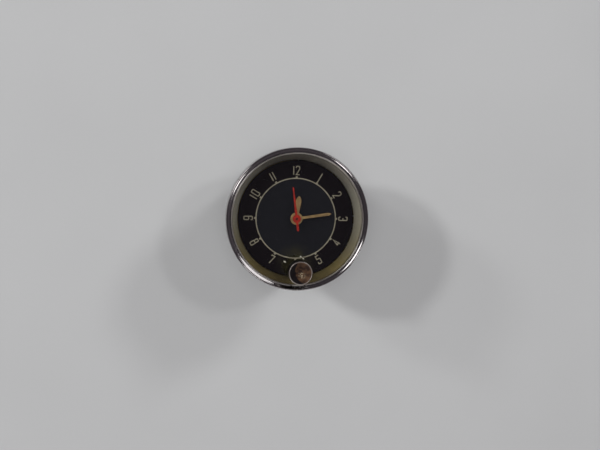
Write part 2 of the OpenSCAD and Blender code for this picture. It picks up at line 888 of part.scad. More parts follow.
// Studs riveted into the plates: two for wheels, one for the hairspring, one for the drive spring
module plate_studs() {
    color("silver") {
        rod(post_r, front_z, minute_leaf_top + end_gap, minute_at);
        rod(post_r, front_z, minute_wheel_z + wheel_t + end_gap, setting_at);
        rod(hair_stud_r, back_plate_z, hairspring_z + hairspring_h, hair_stud_at);
        rod(spring_post_r, back_plate_z, armature_z + armature_t + spring_post_proud, spring_post_at);
    }
}

// Going train

module centre_arbor() {
    color("silver") tube(centre_out_r, centre_in_r, centre_wheel_z - level_gap / 2, dial_top);
}

module centre_wheel() {
    color("gold") train_wheel(centre_n, centre_m, centre_turn, centre_wheel_z, centre_out_r);
}

module third_arbor() {
    color("silver") {
        rod(arbor_r, back_plate_z, front_top - end_gap, third_at);
        toothed(
            third_leaf_n, centre_m, third_leaf_turn, leaf_tooth,
            centre_wheel_z - leaf_reach, centre_wheel_z + wheel_t + leaf_reach, third_at
        );
    }
}

module third_wheel() {
    color("gold") train_wheel(third_n, third_m, third_turn, third_wheel_z, arbor_r, third_at);
}

module second_arbor() {
    color("silver") {
        rod(second_r, back_plate_z, second_hand_z + hand_t + 2 * pipe_proud);
        toothed(
            second_leaf_n, third_m, second_leaf_turn, leaf_tooth,
            third_wheel_z - leaf_reach, third_wheel_z + wheel_t + leaf_reach
        );
    }
}

module fourth_wheel() {
    color("gold") train_wheel(fourth_n, fourth_m, fourth_turn, fourth_wheel_z, second_r);
}

module escape_arbor() {
    color("silver") {
        rod(escape_arbor_r, back_plate_z, front_top - end_gap, escape_at);
        toothed(
            escape_leaf_n, fourth_m, escape_leaf_turn, leaf_tooth,
            fourth_wheel_z - leaf_reach, fourth_wheel_z + wheel_t + leaf_reach, escape_at
        );
    }
}

module escape_wheel() {
    color("gold") saw_wheel(
        escape_n, escape_root_r, escape_r, escape_lean, escape_t, escape_z, escape_arbor_r, escape_at
    );
}

// Escapement

module pallet_lever() {
    z1 = lever_z + lever_t;
    color("silver") {
        rod(lever_arbor_r, back_plate_z, front_top - end_gap, lever_at);
        rod(lever_hub_r, lever_z, z1, lever_at);
        for (side = [-1, 1]) {
            pallet_at = lever_at + polar(pallet_reach, lever_dir + 180 + side * pallet_spread);
            prong = polar(side * (fork_gap + fork_prong_w) / 2, balance_dir + 90);
            bar(lever_at, pallet_at, fork_w, lever_z, z1);
            rod(fork_w / 2, lever_z, z1, pallet_at);
            rod(pallet_pin_r, lever_z, escape_z - pin_gap, pallet_at);
            bar(
                lever_at + polar(fork_root - fork_prong_w, balance_dir) + prong,
                lever_at + polar(fork_tip, balance_dir) + prong, fork_prong_w, lever_z, z1
            );
        }
        bar(lever_at, lever_at + polar(fork_root, balance_dir), fork_gap + 2 * fork_prong_w, lever_z, z1);
    }
}

module balance_screws() {
    front_end = front_z - pivot_screw_in;
    back_end = back_plate_top + pivot_screw_in;
    color("gold") {
        difference() {
            rod(pivot_screw_r, front_end, front_top + pivot_screw_proud, balance_at);
            rod(balance_pivot_r + run_clear, front_end - over, front_end + pivot_depth, balance_at);
        }
        difference() {
            rod(pivot_screw_r, back_plate_z - pivot_screw_out, back_end, balance_at);
            rod(balance_pivot_r + run_clear, back_end - pivot_depth, back_end + over, balance_at);
        }
    }
}

module balance_staff() {
    front_end = front_z - pivot_screw_in - shoulder_gap;
    back_end = back_plate_top + pivot_screw_in + shoulder_gap;
    pivot_len = pivot_depth - shoulder_gap;
    color("silver") {
        rod(staff_r, back_end, front_end, balance_at);
        rod(balance_pivot_r, back_end - pivot_len, front_end + pivot_len, balance_at);
    }
}

module balance_wheel() {
    z1 = balance_z + balance_t;
    color("gold") {
        tube(balance_r, balance_r - balance_rim_w, balance_z, z1, balance_at);
        difference() {
            union() {
                rod(balance_hub_r, balance_z, z1, balance_at);
                for (side = [0, 180]) bar(
                    balance_at, balance_at + polar(balance_r - balance_rim_w / 2, balance_dir + side),
                    balance_rim_w, balance_z, z1
                );
            }
            rod(staff_r, balance_z - over, z1 + over, balance_at);
        }
        rod(impulse_pin_r, balance_z, lever_z - pin_gap, balance_at + polar(roller_r, balance_dir + 180));
    }
}

// Flat spiral from the collet on the staff out to the stud
module hairspring() {
    steps = hair_steps * hairspring_turns;
    function spiral(i, side) = polar(
        hairspring_in_r + hairspring_pitch * i / hair_steps + side * hairspring_t / 2,
        hair_end_dir + 360 / hair_steps * (i - steps)
    );
    color("steelblue") difference() {
        translate([balance_at.x, balance_at.y, hairspring_z]) linear_extrude(hairspring_h) {
            circle(r = hairspring_in_r);
            polygon(concat(
                [for (i = [0 : steps]) spiral(i, 1)], [for (i = [steps : -1 : 0]) spiral(i, -1)]
            ));
        }
        rod(staff_r, hairspring_z - over, hairspring_z + hairspring_h + over, balance_at);
    }
}

module regulator() {
    z1 = regulator_z + regulator_t;
    color("silver") difference() {
        union() {
            rod(regulator_hub_r, regulator_z, z1, balance_at);
            bar(balance_at, tail_at, regulator_w, regulator_z, z1);
            rod(regulator_w / 2, regulator_z, z1, tail_at);
            rod(tail_r, back_z - tail_out, z1, tail_at);
            for (side = [-1, 1]) rod(
                curb_r, regulator_z, hairspring_z + hairspring_h / 2,
                balance_at + polar(outer_turn_r + side * curb_gap, regulator_dir)
            );
        }
        rod(pivot_screw_r + run_clear, regulator_z - over, z1 + over, balance_at);
    }
}

// Magnet that rewinds the clock

module along_coil() {
    translate([coil_at.x, coil_at.y, coil_axis_z]) rotate([0, 90, 0]) children();
}

module coil_yoke() {
    color("gray") {
        difference() {
            translate([pole_x, coil_offset - yoke_w / 2, back_plate_top])
                cube([yoke_end_x + yoke_end_t - pole_x, yoke_w, yoke_t]);
            for (at = yoke_screw_at)
                rod(yoke_screw_r, back_plate_top - over, back_plate_top + yoke_t + over, at);
        }
        translate([yoke_end_x, coil_offset - yoke_w / 2, back_plate_top])
            cube([yoke_end_t, yoke_w, coil_axis_z + core_r + yoke_end_proud - back_plate_top]);
        along_coil() rod(core_r, pole_x, yoke_end_x);
    }
}

module coil_bobbin() {
    half = coil_len / 2;
    color("saddlebrown") along_coil() difference() {
        union() {
            rod(core_r + bobbin_wall, -half, half);
            rod(coil_r, -half, -half + bobbin_flange_t);
            rod(coil_r, half - bobbin_flange_t, half);
        }
        rod(core_r, -half - over, half + over);
    }
}

module coil_winding() {
    half = coil_len / 2 - bobbin_flange_t;
    color("chocolate") along_coil() tube(coil_r - winding_gap, core_r + bobbin_wall, -half, half);
}

module yoke_screws() {
    color("silver") for (at = yoke_screw_at)
        slot_screw(at, back_plate_z, 1, yoke_screw_r, plate_t + yoke_t - end_gap);
}

module coil_lead() {
    start = [terminal_at.x + blade_w / 2, terminal_at.y, back_in_z + blade_in - lead_down];
    corner = [lead_drop_at.x, start.y, start.z];
    drop = [lead_drop_at.x, lead_drop_at.y, start.z];
    rise = [drop.x, drop.y, coil_axis_z];
    end = [coil_len / 2, drop.y, coil_axis_z];
    color("firebrick") {
        wire(start, corner, lead_r);
        wire(corner, drop, lead_r);
        wire(drop, rise, lead_r);
        wire(rise, end, lead_r);
        for (p = [corner, drop, rise]) translate(p) sphere(r = lead_r);
    }
}

// Turns what is drawn with the magnet on back to where the spring holds it
module at_rest() {
    translate([third_at.x, third_at.y, 0])
        rotate(armature_swing)
            translate([-third_at.x, -third_at.y, 0])
                children();
}

module armature() {
    color("gray") at_rest() difference() {
        union() {
            rod(armature_hub_r, armature_z - armature_t, armature_z + armature_t, third_at);
            bar(third_at, arm_end, armature_w, armature_z, armature_z + armature_t);
            translate([pole_x - pole_gap - armature_block, coil_offset - yoke_w / 2, block_z])
                cube([armature_block, yoke_w, block_h]);
        }
        rod(pivot_r, armature_z - armature_t - over, armature_z + armature_t + over, third_at);
    }
}

module ratchet_wheel() {
    color("silver") saw_wheel(
        ratchet_n, ratchet_r - ratchet_tooth, ratchet_r, ratchet_lean,
        escape_t, escape_z, arbor_r, third_at
    );
}

module drive_pawl() {
    post_at = third_at + polar(pawl_reach, rest_dir);
    tip_at = third_at + polar(ratchet_r + pawl_gap, rest_dir + pawl_lean);
    color("silver") {
        rod(pawl_post_r, armature_z + armature_t, escape_z + escape_t, post_at);
        bar(post_at, tip_at, pawl_t, escape_z, escape_z + escape_t);
    }
}

module drive_spring() {
    arm_side = third_at + polar(spring_reach, rest_dir) + polar(armature_w / 2, rest_dir + 90);
    d = spring_post_at - arm_side;
    gap = spring_post_r + spring_gap;
    color("silver") translate([arm_side.x, arm_side.y, armature_z + armature_t / 2])
        rotate(atan2(d.y, d.x))
            translate([spring_gap, 0, 0])
                rotate([0, 90, 0])
                    helix(drive_coil_r, drive_wire_r, drive_turns, norm(d) - gap - spring_gap);
}

module contact_block() {
    color("saddlebrown")
        translate([contact_block_at.x, contact_block_at.y, back_plate_top + contact_block_h / 2])
            cube([contact_block_w, contact_block_l, contact_block_h], center = true);
}

module contact_blade() {
    arm_side = third_at + polar(contact_reach, rest_dir)
        + polar(armature_w / 2 + contact_gap + contact_t, rest_dir + 90);
    start = [contact_block_at.x + contact_block_w / 2, arm_side.y];
    color("gold") bar(start, arm_side, contact_t, armature_z, armature_z + armature_t);
}

// Case and what is on its back

module case() {
    in_round = back_round - case_wall;
    outside = concat(
        [[0, back_z]], quarter([case_r - back_round, back_z + back_round], back_round, -90),
        [
            [case_r, 0], [case_r + corner_cut, bezel_wall], [rim_r, bezel_wall], [rim_r, cup_top],
            [rim_r - case_wall, cup_top], [rim_r - case_wall, flange_top],
            [case_in_r + corner_cut, flange_top], [case_in_r, corner_z]
        ]
    );
    inner_edge = quarter([case_in_r - in_round, back_in_z + in_round], in_round, -90);
    inside = [for (k = [len(inner_edge) - 1 : -1 : 0]) inner_edge[k]];
    color("gainsboro") difference() {
        rotate_extrude() polygon(concat(outside, inside, [[0, back_in_z]]));
        both_studs() rod(shank_r + stud_clear, back_z - over, back_in_z + over);
        rod(holder_r, back_z - over, back_in_z + over, lamp_at);
        rod(spigot_r, back_z - over, back_in_z + over, terminal_at);
        arc_slot(
            balance_at, regulator_reach, tail_r + slot_room, regulator_dir, regulator_swing,
            back_z - over, back_in_z + over
        );
    }
}

module mounting_studs() {
    color("silver") both_studs() union() {
        rod(stud_r, stand_z, back_plate_top);
        rod(shank_r, shank_z, back_plate_top);
    }
}

module stud_spacers() {
    color("gold") both_studs() tube(spacer_r, shank_r + stud_clear, back_in_z, back_plate_z);
}

module stud_nuts() {
    color("silver") both_studs() difference() {
        translate([0, 0, nut_z]) cylinder(d = nut_w / cos(30), h = nut_h, $fn = 6);
        rod(shank_r, nut_z - over, nut_z + nut_h + over);
    }
}

module stud_washers() {
    color("darkgray") both_studs() tube(washer_r, shank_r + stud_clear, back_z - washer_t, back_z);
}

module bulb_holder() {
    color("silver") difference() {
        union() {
            rod(holder_r, back_z - holder_h, back_z + holder_in_h, lamp_at);
            rod(holder_flange_r, back_z - holder_flange_t, back_z, lamp_at);
        }
        rod(lamp_r + run_clear, lamp_floor, back_z + holder_in_h + over, lamp_at);
        rod(tail_contact_r, back_z - holder_h - over, lamp_floor + over, lamp_at);
    }
}

module bulb_lamp() {
    color("gold") {
        rod(lamp_r, lamp_floor, lamp_cap_top, lamp_at);
        rod(lamp_glass_r, lamp_cap_top, lamp_cap_top + lamp_glass_h, lamp_at);
        translate([lamp_at.x, lamp_at.y, lamp_cap_top + lamp_glass_h]) sphere(r = lamp_glass_r);
    }
}

module bulb_contact() {
    color("gold") rod(tail_contact_r, stand_z, lamp_floor, lamp_at);
}

module blade_bar(z0, z1) {
    translate([terminal_at.x - blade_w / 2, terminal_at.y - blade_t / 2, z0])
        cube([blade_w, blade_t, z1 - z0]);
}

module terminal_insulator() {
    color("saddlebrown") difference() {
        union() {
            rod(insulator_r, back_z - insulator_t, back_z, terminal_at);
            rod(spigot_r, back_z, back_in_z + spigot_proud, terminal_at);
        }
        blade_bar(back_z - insulator_t - over, back_in_z + spigot_proud + over);
    }
}

module terminal_blade() {
    color("gold") difference() {
        blade_bar(stand_z, back_in_z + blade_in);
        translate([terminal_at.x, terminal_at.y, stand_z + blade_hole_up])
            rotate([90, 0, 0])
                translate([0, 0, -blade_t])
                    cylinder(r = blade_hole_r, h = 2 * blade_t);
    }
}

bezel();
glass();
glass_gasket();
reflector_ring();
dial();
dial_feet();
hour_hand();
minute_hand();
second_hand();
setting_knob();
setting_stem();
setting_pinion();
stem_guide();
stem_spring();
stem_washer();
stem_clip();
cannon_pinion();
minute_wheel();
hour_wheel();
setting_wheel();
front_plate();
back_plate();
pillars();
pillar_screws();
plate_studs();
centre_arbor();
centre_wheel();
third_arbor();
third_wheel();
second_arbor();
fourth_wheel();
escape_arbor();
escape_wheel();
pallet_lever();
balance_staff();
balance_wheel();
balance_screws();
hairspring();
regulator();
coil_yoke();
coil_bobbin();
coil_winding();
yoke_screws();
coil_lead();
armature();
ratchet_wheel();
drive_pawl();
drive_spring();
contact_block();
contact_blade();
case();
mounting_studs();
stud_spacers();
stud_nuts();
stud_washers();
bulb_holder();
bulb_lamp();
bulb_contact();
terminal_insulator();
terminal_blade();
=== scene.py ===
"""Looks of a car dashboard clock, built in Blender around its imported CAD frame.

Sizes are in millimetres and become metres where a mesh is made. The dial faces +Z, twelve
o'clock is +Y, and the seat on the dashboard is the plane Z = 0.
"""

import json
import logging
import math
from dataclasses import dataclass
from enum import Enum
from typing import Any, Iterable, Sequence

import bmesh
import bpy
from mathutils import Matrix, Vector

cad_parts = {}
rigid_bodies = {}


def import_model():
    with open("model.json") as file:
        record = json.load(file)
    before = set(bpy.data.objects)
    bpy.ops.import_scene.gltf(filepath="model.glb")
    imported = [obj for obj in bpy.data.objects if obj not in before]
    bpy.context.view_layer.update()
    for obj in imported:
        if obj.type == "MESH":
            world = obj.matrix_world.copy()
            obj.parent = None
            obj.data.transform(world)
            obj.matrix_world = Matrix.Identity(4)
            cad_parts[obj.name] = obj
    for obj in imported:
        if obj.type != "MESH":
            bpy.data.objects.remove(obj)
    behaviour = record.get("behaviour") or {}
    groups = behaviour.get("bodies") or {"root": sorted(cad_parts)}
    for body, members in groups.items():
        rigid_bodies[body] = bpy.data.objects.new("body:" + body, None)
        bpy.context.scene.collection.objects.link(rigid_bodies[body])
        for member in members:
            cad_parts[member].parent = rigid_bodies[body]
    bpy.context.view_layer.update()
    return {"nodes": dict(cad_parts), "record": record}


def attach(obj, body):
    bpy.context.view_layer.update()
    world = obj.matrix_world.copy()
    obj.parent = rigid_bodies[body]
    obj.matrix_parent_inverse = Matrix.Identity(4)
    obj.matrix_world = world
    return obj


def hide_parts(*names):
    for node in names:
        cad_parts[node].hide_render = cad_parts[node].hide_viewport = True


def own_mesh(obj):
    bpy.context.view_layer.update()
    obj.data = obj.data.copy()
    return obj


Point = tuple[float, float]
Corner = tuple[float, float, float]
Mesh = bpy.types.Mesh
Tree = bpy.types.NodeTree
Socket = bpy.types.NodeSocket

LOG = logging.getLogger("dashboard_clock")
MM = 0.001
TINY = 1e-6
SHARP_DEG = 40.0
AXIS = (0.0, 0.0, 0.0)
LEVEL = (1.0, 1.0, 0.0)
# Most values of a noise texture lie between these two.
NOISE = (0.3, 0.7)


class Body(Enum):
    """The CAD bodies that a visible piece rides on."""

    CLOCK = "clock_body"
    MINUTE = "minute"
    HOUR = "hour"
    SECOND = "second"
    KNOB = "knob"
    BALANCE = "balance"


class Top(Enum):
    """Which way the top of an hour numeral points."""

    OUTWARD = 1
    INWARD = -1


class Reach(Enum):
    """Which surfaces a lamp lights."""

    MATT = "paint and card"
    MIRRORS = "bright metal and glass"
    ALL = "everything"


def linear(code: str) -> tuple[float, float, float, float]:
    """Turns an sRGB hex colour to linear light.

    Args:
        code: Six hex digits after a hash sign.

    Returns:
        Red, green, blue and an alpha of 1.
    """
    parts = [int(code[k : k + 2], 16) / 255 for k in (1, 3, 5)]
    red, green, blue = (p / 12.92 if p <= 0.04045 else ((p + 0.055) / 1.055) ** 2.4 for p in parts)
    return red, green, blue, 1.0


def per_mm(size: float) -> float:
    """Gives the texture scale, in repeats a metre, of a pattern of this size in millimetres."""
    return 1 / (size * MM)


def metres(*values: float) -> tuple[float, ...]:
    """Turns millimetres to metres."""
    return tuple(v * MM for v in values)


def add(tree: Tree, kind: str, inputs: dict | Sequence = (), **settings: Any) -> bpy.types.Node:
    """Adds a node with its settings, its constants and its links.

    Args:
        tree: The node tree that gets the node.
        kind: Blender's name of the node type.
        inputs: A socket to link from, or a constant, for each input: by name or number, or in order.
        settings: The node's own properties.

    Returns:
        The new node.
    """
    node = tree.nodes.new(kind)
    for key, value in settings.items():
        setattr(node, key, value)
    for key, value in inputs.items() if isinstance(inputs, dict) else enumerate(inputs):
        if isinstance(value, Socket):
            tree.links.new(value, node.inputs[key])
        else:
            node.inputs[key].default_value = value
    return node


@dataclass(frozen=True, kw_only=True)
class Finish:
    """A surface, named for the real material."""

    name: str
    metallic: float = 0.0
    ior: float = 1.5

    def sockets(self, tree: Tree, coord: Socket) -> dict[str, Any]:
        """Draws the pattern.

        Args:
            tree: The material's node tree.
            coord: Object coordinates, in metres.

        Returns:
            What goes into each socket of the surface shader.
        """
        raise NotImplementedError

    def surface(self, tree: Tree, shader: bpy.types.Node) -> Socket:
        """Gives the socket that the material shows."""
        return shader.outputs["BSDF"]

    def spot(
        self, tree: Tree, coord: Socket, at: Sequence[float], span: Point, upright: bool = False
    ) -> Socket:
        """Marks a round place on the surface.

        Args:
            tree: The material's node tree.
            coord: Object coordinates, in metres.
            at: The middle of the place.
            span: How far from the middle the mark begins, and where it is full.
            upright: Whether the place is a column along Z, not a ball.

        Returns:
            A share that runs from 0 to 1.
        """
        away = add(tree, "ShaderNodeVectorMath", (coord, metres(*at)), operation="SUBTRACT").outputs[0]
        if upright:
            away = add(tree, "ShaderNodeVectorMath", (away, LEVEL), operation="MULTIPLY").outputs[0]
        far = add(tree, "ShaderNodeVectorMath", (away,), operation="LENGTH").outputs["Value"]
        return add(tree, "ShaderNodeMapRange", (far, *metres(*span))).outputs[0]

    def material(self) -> bpy.types.Material:
        """Makes the material when it is first asked for.

        Returns:
            The one material of this finish.
        """
        found = bpy.data.materials.get(self.name)
        if found:
            return found
        made = bpy.data.materials.new(self.name)
        made.use_nodes = True
        tree = made.node_tree
        tree.nodes.clear()
        coord = add(tree, "ShaderNodeTexCoord").outputs["Object"]
        fixed = {"Metallic": self.metallic, "IOR": self.ior}
        shader = add(tree, "ShaderNodeBsdfPrincipled", fixed | self.sockets(tree, coord))
        add(tree, "ShaderNodeOutputMaterial", {"Surface": self.surface(tree, shader)})
        return made


@dataclass(frozen=True, kw_only=True)
class Mottled(Finish):
    """A worn surface of two close colours, with a fine grain that may run one way."""

    base: str
    shade: str
    rough: Point = (0.35, 0.55)
    patch_mm: float = 6.0
    patch_span: Point = (0.35, 0.68)
    grain_mm: float = 0.6
    relief_mm: float = 0.01
    run: Corner = (1.0, 1.0, 1.0)

    def sockets(self, tree: Tree, coord: Socket) -> dict[str, Any]:
        """Mixes the two colours in patches and lets the grain change roughness and relief.

        Args:
            tree: The material's node tree.
            coord: Object coordinates, in metres.

        Returns:
            What goes into each socket of the surface shader.
        """
        along = add(tree, "ShaderNodeMapping", {"Vector": coord, "Scale": self.run}).outputs[0]
        noises = (
            {"Vector": coord, "Scale": per_mm(self.patch_mm), "Detail": 6.0},
            {"Vector": along, "Scale": per_mm(self.grain_mm), "Detail": 3.0},
        )
        patch, grain = (add(tree, "ShaderNodeTexNoise", noise).outputs[0] for noise in noises)
        share = add(tree, "ShaderNodeMapRange", (patch, *self.patch_span)).outputs[0]
        tones = {0: share, 6: linear(self.base), 7: linear(self.shade)}
        tint = add(tree, "ShaderNodeMix", tones, data_type="RGBA").outputs[2]
        rough = add(tree, "ShaderNodeMapRange", (grain, *NOISE, *self.rough)).outputs[0]
        bump = add(tree, "ShaderNodeBump", {"Height": grain, "Distance": self.relief_mm * MM})
        return {"Base Color": tint, "Roughness": rough, "Normal": bump.outputs[0]}


@dataclass(frozen=True, kw_only=True)
class ChromePlate(Finish):
    """Bright chrome on brass: a mirror with fine brown pits and a lip rubbed to satin."""

    metallic: float = 1.0
    bright: str = "#b0acac"
    dull: str = "#a4a0a0"
    pit: str = "#3b302a"
    worn: str = "#8f8a84"
    satin: str = "#c6c1b8"
    patch_mm: float = 5.0
    haze_mm: float = 0.7
    pit_mm: float = 0.9
    dull_span: Point = (0.38, 0.68)
    hole_span: Point = (0.24, 0.1)
    pitted_span: Point = (0.5, 0.62)
    cover_span: tuple[float, ...] = (0.42, 0.6, 0.0, 0.5)
    worn_at: Corner = (0.4, -28.0, 8.0)
    worn_reach: Point = (4.6, 2.3)
    nicks: tuple[Corner, Corner] = ((-2.4, -28.0, 8.0), (3.3, -27.9, 8.0))
    nick_reach: Point = (0.6, 0.3)
    satin_r: Point = (27.95, 27.75)
    rough: Point = (0.06, 0.16)
    rougher: float = 0.3
    pit_depth: float = 0.03
    pit_strength: float = 0.6

    def sockets(self, tree: Tree, coord: Socket) -> dict[str, Any]:
        """Dulls the plate in patches, pits it, and roughens the worn stretch and the lip.

        Args:
            tree: The material's node tree.
            coord: Object coordinates, in metres.

        Returns:
            What goes into each socket of the surface shader.
        """
        noises = (
            {"Vector": coord, "Scale": per_mm(self.patch_mm), "Detail": 8.0},
            {"Vector": coord, "Scale": per_mm(self.haze_mm), "Detail": 4.0},
        )
        patch, fine = (add(tree, "ShaderNodeTexNoise", noise).outputs[0] for noise in noises)
        cells = add(tree, "ShaderNodeTexVoronoi", {"Vector": coord, "Scale": per_mm(self.pit_mm)})
        spans = (
            (patch, *self.dull_span), (cells.outputs["Distance"], *self.hole_span),
            (patch, *self.pitted_span), (fine, *self.cover_span), (fine, *NOISE, *self.rough),
        )
        dull, hole, some, cover, rough = (add(tree, "ShaderNodeMapRange", s).outputs[0] for s in spans)
        near = self.spot(tree, coord, self.worn_at, self.worn_reach)
        lip = self.spot(tree, coord, AXIS, self.satin_r, upright=True)
        nicks = [self.spot(tree, coord, at, self.nick_reach) for at in self.nicks]
        pits = add(tree, "ShaderNodeMath", (hole, some), operation="MULTIPLY").outputs[0]
        worn = add(tree, "ShaderNodeMath", (near, cover), operation="MULTIPLY").outputs[0]
        nick = add(tree, "ShaderNodeMath", nicks, operation="MAXIMUM").outputs[0]
        harm = add(tree, "ShaderNodeMath", (pits, worn), operation="MAXIMUM").outputs[0]
        coats = ((dull, self.dull), (pits, self.pit), (worn, self.worn), (lip, self.satin), (nick, self.pit))
        colour = linear(self.bright)
        for share, tone in coats:
            tones = {0: share, 6: colour, 7: linear(tone)}
            colour = add(tree, "ShaderNodeMix", tones, data_type="RGBA").outputs[2]
        for share in (harm, lip):
            more = (share, self.rougher, rough)
            rough = add(tree, "ShaderNodeMath", more, operation="MULTIPLY_ADD").outputs[0]
        dent = {"Height": harm, "Distance": self.pit_depth * MM, "Strength": self.pit_strength}
        bump = add(tree, "ShaderNodeBump", dent, invert=True)
        return {"Base Color": colour, "Roughness": rough, "Normal": bump.outputs[0]}


@dataclass(frozen=True, kw_only=True)
class DialPaint(Finish):
    """Matt black dial paint: a warmer outer ring, dust, and a painted olive reflection around the knob."""

    ring: str = "#090609"
    middle: str = "#141519"
    dust: str = "#4a4944"
    # The olive tone by the knob is a painted reflection of the knob.
    knob_reflection: str = "#2e2c1d"
    ring_r: Point = (16.8, 17.2)
    cloud_mm: float = 4.0
    # A real speck of dust is too fine to show, so each is drawn a few tenths across.
    speck_mm: float = 2.4
    speck_span: Point = (0.09, 0.04)
    dusty_span: Point = (0.48, 0.62)
    knob_reflection_breakup_span: Point = (0.32, 0.62)
    knob_reflection_at: Corner = (0.0, -19.0, 0.6)
    knob_reflection_reach: Point = (9.0, 2.0)
    rough: Point = (0.65, 0.85)
    gloss: float = 0.06
    dust_depth: float = 0.05
    dust_strength: float = 0.5

    def sockets(self, tree: Tree, coord: Socket) -> dict[str, Any]:
        """Parts ring and middle by radius, then lays dust and the painted reflection of the knob over them.

        Args:
            tree: The material's node tree.
            coord: Object coordinates, in metres.

        Returns:
            What goes into each socket of the surface shader.
        """
        clouds = {"Vector": coord, "Scale": per_mm(self.cloud_mm), "Detail": 6.0}
        cloud = add(tree, "ShaderNodeTexNoise", clouds).outputs[0]
        cells = add(tree, "ShaderNodeTexVoronoi", {"Vector": coord, "Scale": per_mm(self.speck_mm)})
        spans = (
            (cells.outputs["Distance"], *self.speck_span), (cloud, *self.dusty_span),
            (cloud, *self.knob_reflection_breakup_span), (cloud, *NOISE, *self.rough),
        )
        speck, dusty, knob_reflection_breakup, rough = (add(tree, "ShaderNodeMapRange", s).outputs[0] for s in spans)
        outer = self.spot(tree, coord, AXIS, self.ring_r, upright=True)
        # The olive patch around the knob is a painted reflection, broken up by clouds.
        near = self.spot(tree, coord, self.knob_reflection_at, self.knob_reflection_reach)
        dust = add(tree, "ShaderNodeMath", (speck, dusty), operation="MULTIPLY").outputs[0]
        knob_reflection = add(tree, "ShaderNodeMath", (near, knob_reflection_breakup), operation="MULTIPLY").outputs[0]
        colour = linear(self.middle)
        for share, tone in ((outer, self.ring), (dust, self.dust), (knob_reflection, self.knob_reflection)):
            tones = {0: share, 6: colour, 7: linear(tone)}
            colour = add(tree, "ShaderNodeMix", tones, data_type="RGBA").outputs[2]
        raised = {"Height": dust, "Distance": self.dust_depth * MM, "Strength": self.dust_strength}
        bump = add(tree, "ShaderNodeBump", raised).outputs[0]
        return {"Base Color": colour, "Roughness": rough, "Normal": bump, "Specular IOR Level": self.gloss}


@dataclass(frozen=True, kw_only=True)
class ConePaint(Finish):
    """Aged silver-grey paint on the lamp's reflector: browner towards six o'clock, with painted shade
    darkening it towards the dial.
    """

    tones: tuple[tuple[float, str], ...] = (
        (0.02, "#473d24"), (0.16, "#645938"), (0.58, "#837f73"), (1.0, "#655f57"),
    )
    stain_mm: float = 9.0
    grain_mm: float = 1.2
    reach: Point = (-28.0, 28.0)
    shift_span: tuple[float, ...] = (0.2, 0.8, -0.1, 0.1)
    # Painted shade darkens the cone towards its foot: these heights and factors.
    shaded: Point = (0.9, 4.4)
    shade: Point = (0.6, 1.05)
    rough: Point = (0.5, 0.7)
    gloss: float = 0.25
    relief_mm: float = 0.02

    def sockets(self, tree: Tree, coord: Socket) -> dict[str, Any]:
        """Runs the tones from six o'clock up to twelve, breaks them with stains and paints shade onto the
        foot.

        Args:
            tree: The material's node tree.
            coord: Object coordinates, in metres.

        Returns:
            What goes into each socket of the surface shader.
        """
        noises = (
            {"Vector": coord, "Scale": per_mm(self.stain_mm), "Detail": 5.0},
            {"Vector": coord, "Scale": per_mm(self.grain_mm), "Detail": 3.0},
        )
        stain, grain = (add(tree, "ShaderNodeTexNoise", noise).outputs[0] for noise in noises)
        split = add(tree, "ShaderNodeSeparateXYZ", (coord,)).outputs
        spans = (
            (split["Y"], *metres(*self.reach)), (stain, *self.shift_span),
            (split["Z"], *metres(*self.shaded), *self.shade), (grain, *NOISE, *self.rough),
        )
        height, shift, foot_painted_shade, rough = (add(tree, "ShaderNodeMapRange", s).outputs[0] for s in spans)
        place = add(tree, "ShaderNodeMath", (height, shift), operation="ADD").outputs[0]
        run = add(tree, "ShaderNodeValToRGB", (place,))
        stops = run.color_ramp.elements
        for stop, (at, tone) in zip(stops, (self.tones[0], self.tones[-1])):
            stop.position, stop.color = at, linear(tone)
        for at, tone in self.tones[1:-1]:
            stops.new(at).color = linear(tone)
        # The tones are multiplied by painted shade that darkens the foot of the cone.
        dimmed = {0: 1.0, 6: run.outputs["Color"], 7: foot_painted_shade}
        colour = add(tree, "ShaderNodeMix", dimmed, data_type="RGBA", blend_type="MULTIPLY").outputs[2]
        bump = add(tree, "ShaderNodeBump", {"Height": grain, "Distance": self.relief_mm * MM}).outputs[0]
        return {"Base Color": colour, "Roughness": rough, "Normal": bump, "Specular IOR Level": self.gloss}


@dataclass(frozen=True, kw_only=True)
class WindowGlass(Finish):
    """Flat clear glass: a faint gleam, with a haze of fine dust that light still passes."""

    tint: str = "#fbfcfa"
    haze_mm: float = 3.0
    rough: Point = (0.0, 0.03)

    def sockets(self, tree: Tree, coord: Socket) -> dict[str, Any]:
        """Keeps the pane clear and lets the dust change only its gloss.

        Args:
            tree: The material's node tree.
            coord: Object coordinates, in metres.

        Returns:
            What goes into each socket of the surface shader.
        """
        clouds = {"Vector": coord, "Scale": per_mm(self.haze_mm), "Detail": 5.0}
        haze = add(tree, "ShaderNodeTexNoise", clouds).outputs[0]
        rough = add(tree, "ShaderNodeMapRange", (haze, *NOISE, *self.rough)).outputs[0]
        return {"Base Color": linear(self.tint), "Roughness": rough, "Transmission Weight": 1.0}

    def surface(self, tree: Tree, shader: bpy.types.Node) -> Socket:
        """Lets the lamps shine through the pane onto the dial.

        Args:
            tree: The material's node tree.
            shader: The glass itself.

        Returns:
            The socket that the material shows.
        """
        shadow = add(tree, "ShaderNodeLightPath").outputs["Is Shadow Ray"]
        clear = add(tree, "ShaderNodeBsdfTransparent").outputs["BSDF"]
        return add(tree, "ShaderNodeMixShader", (shadow, shader.outputs["BSDF"], clear)).outputs["Shader"]


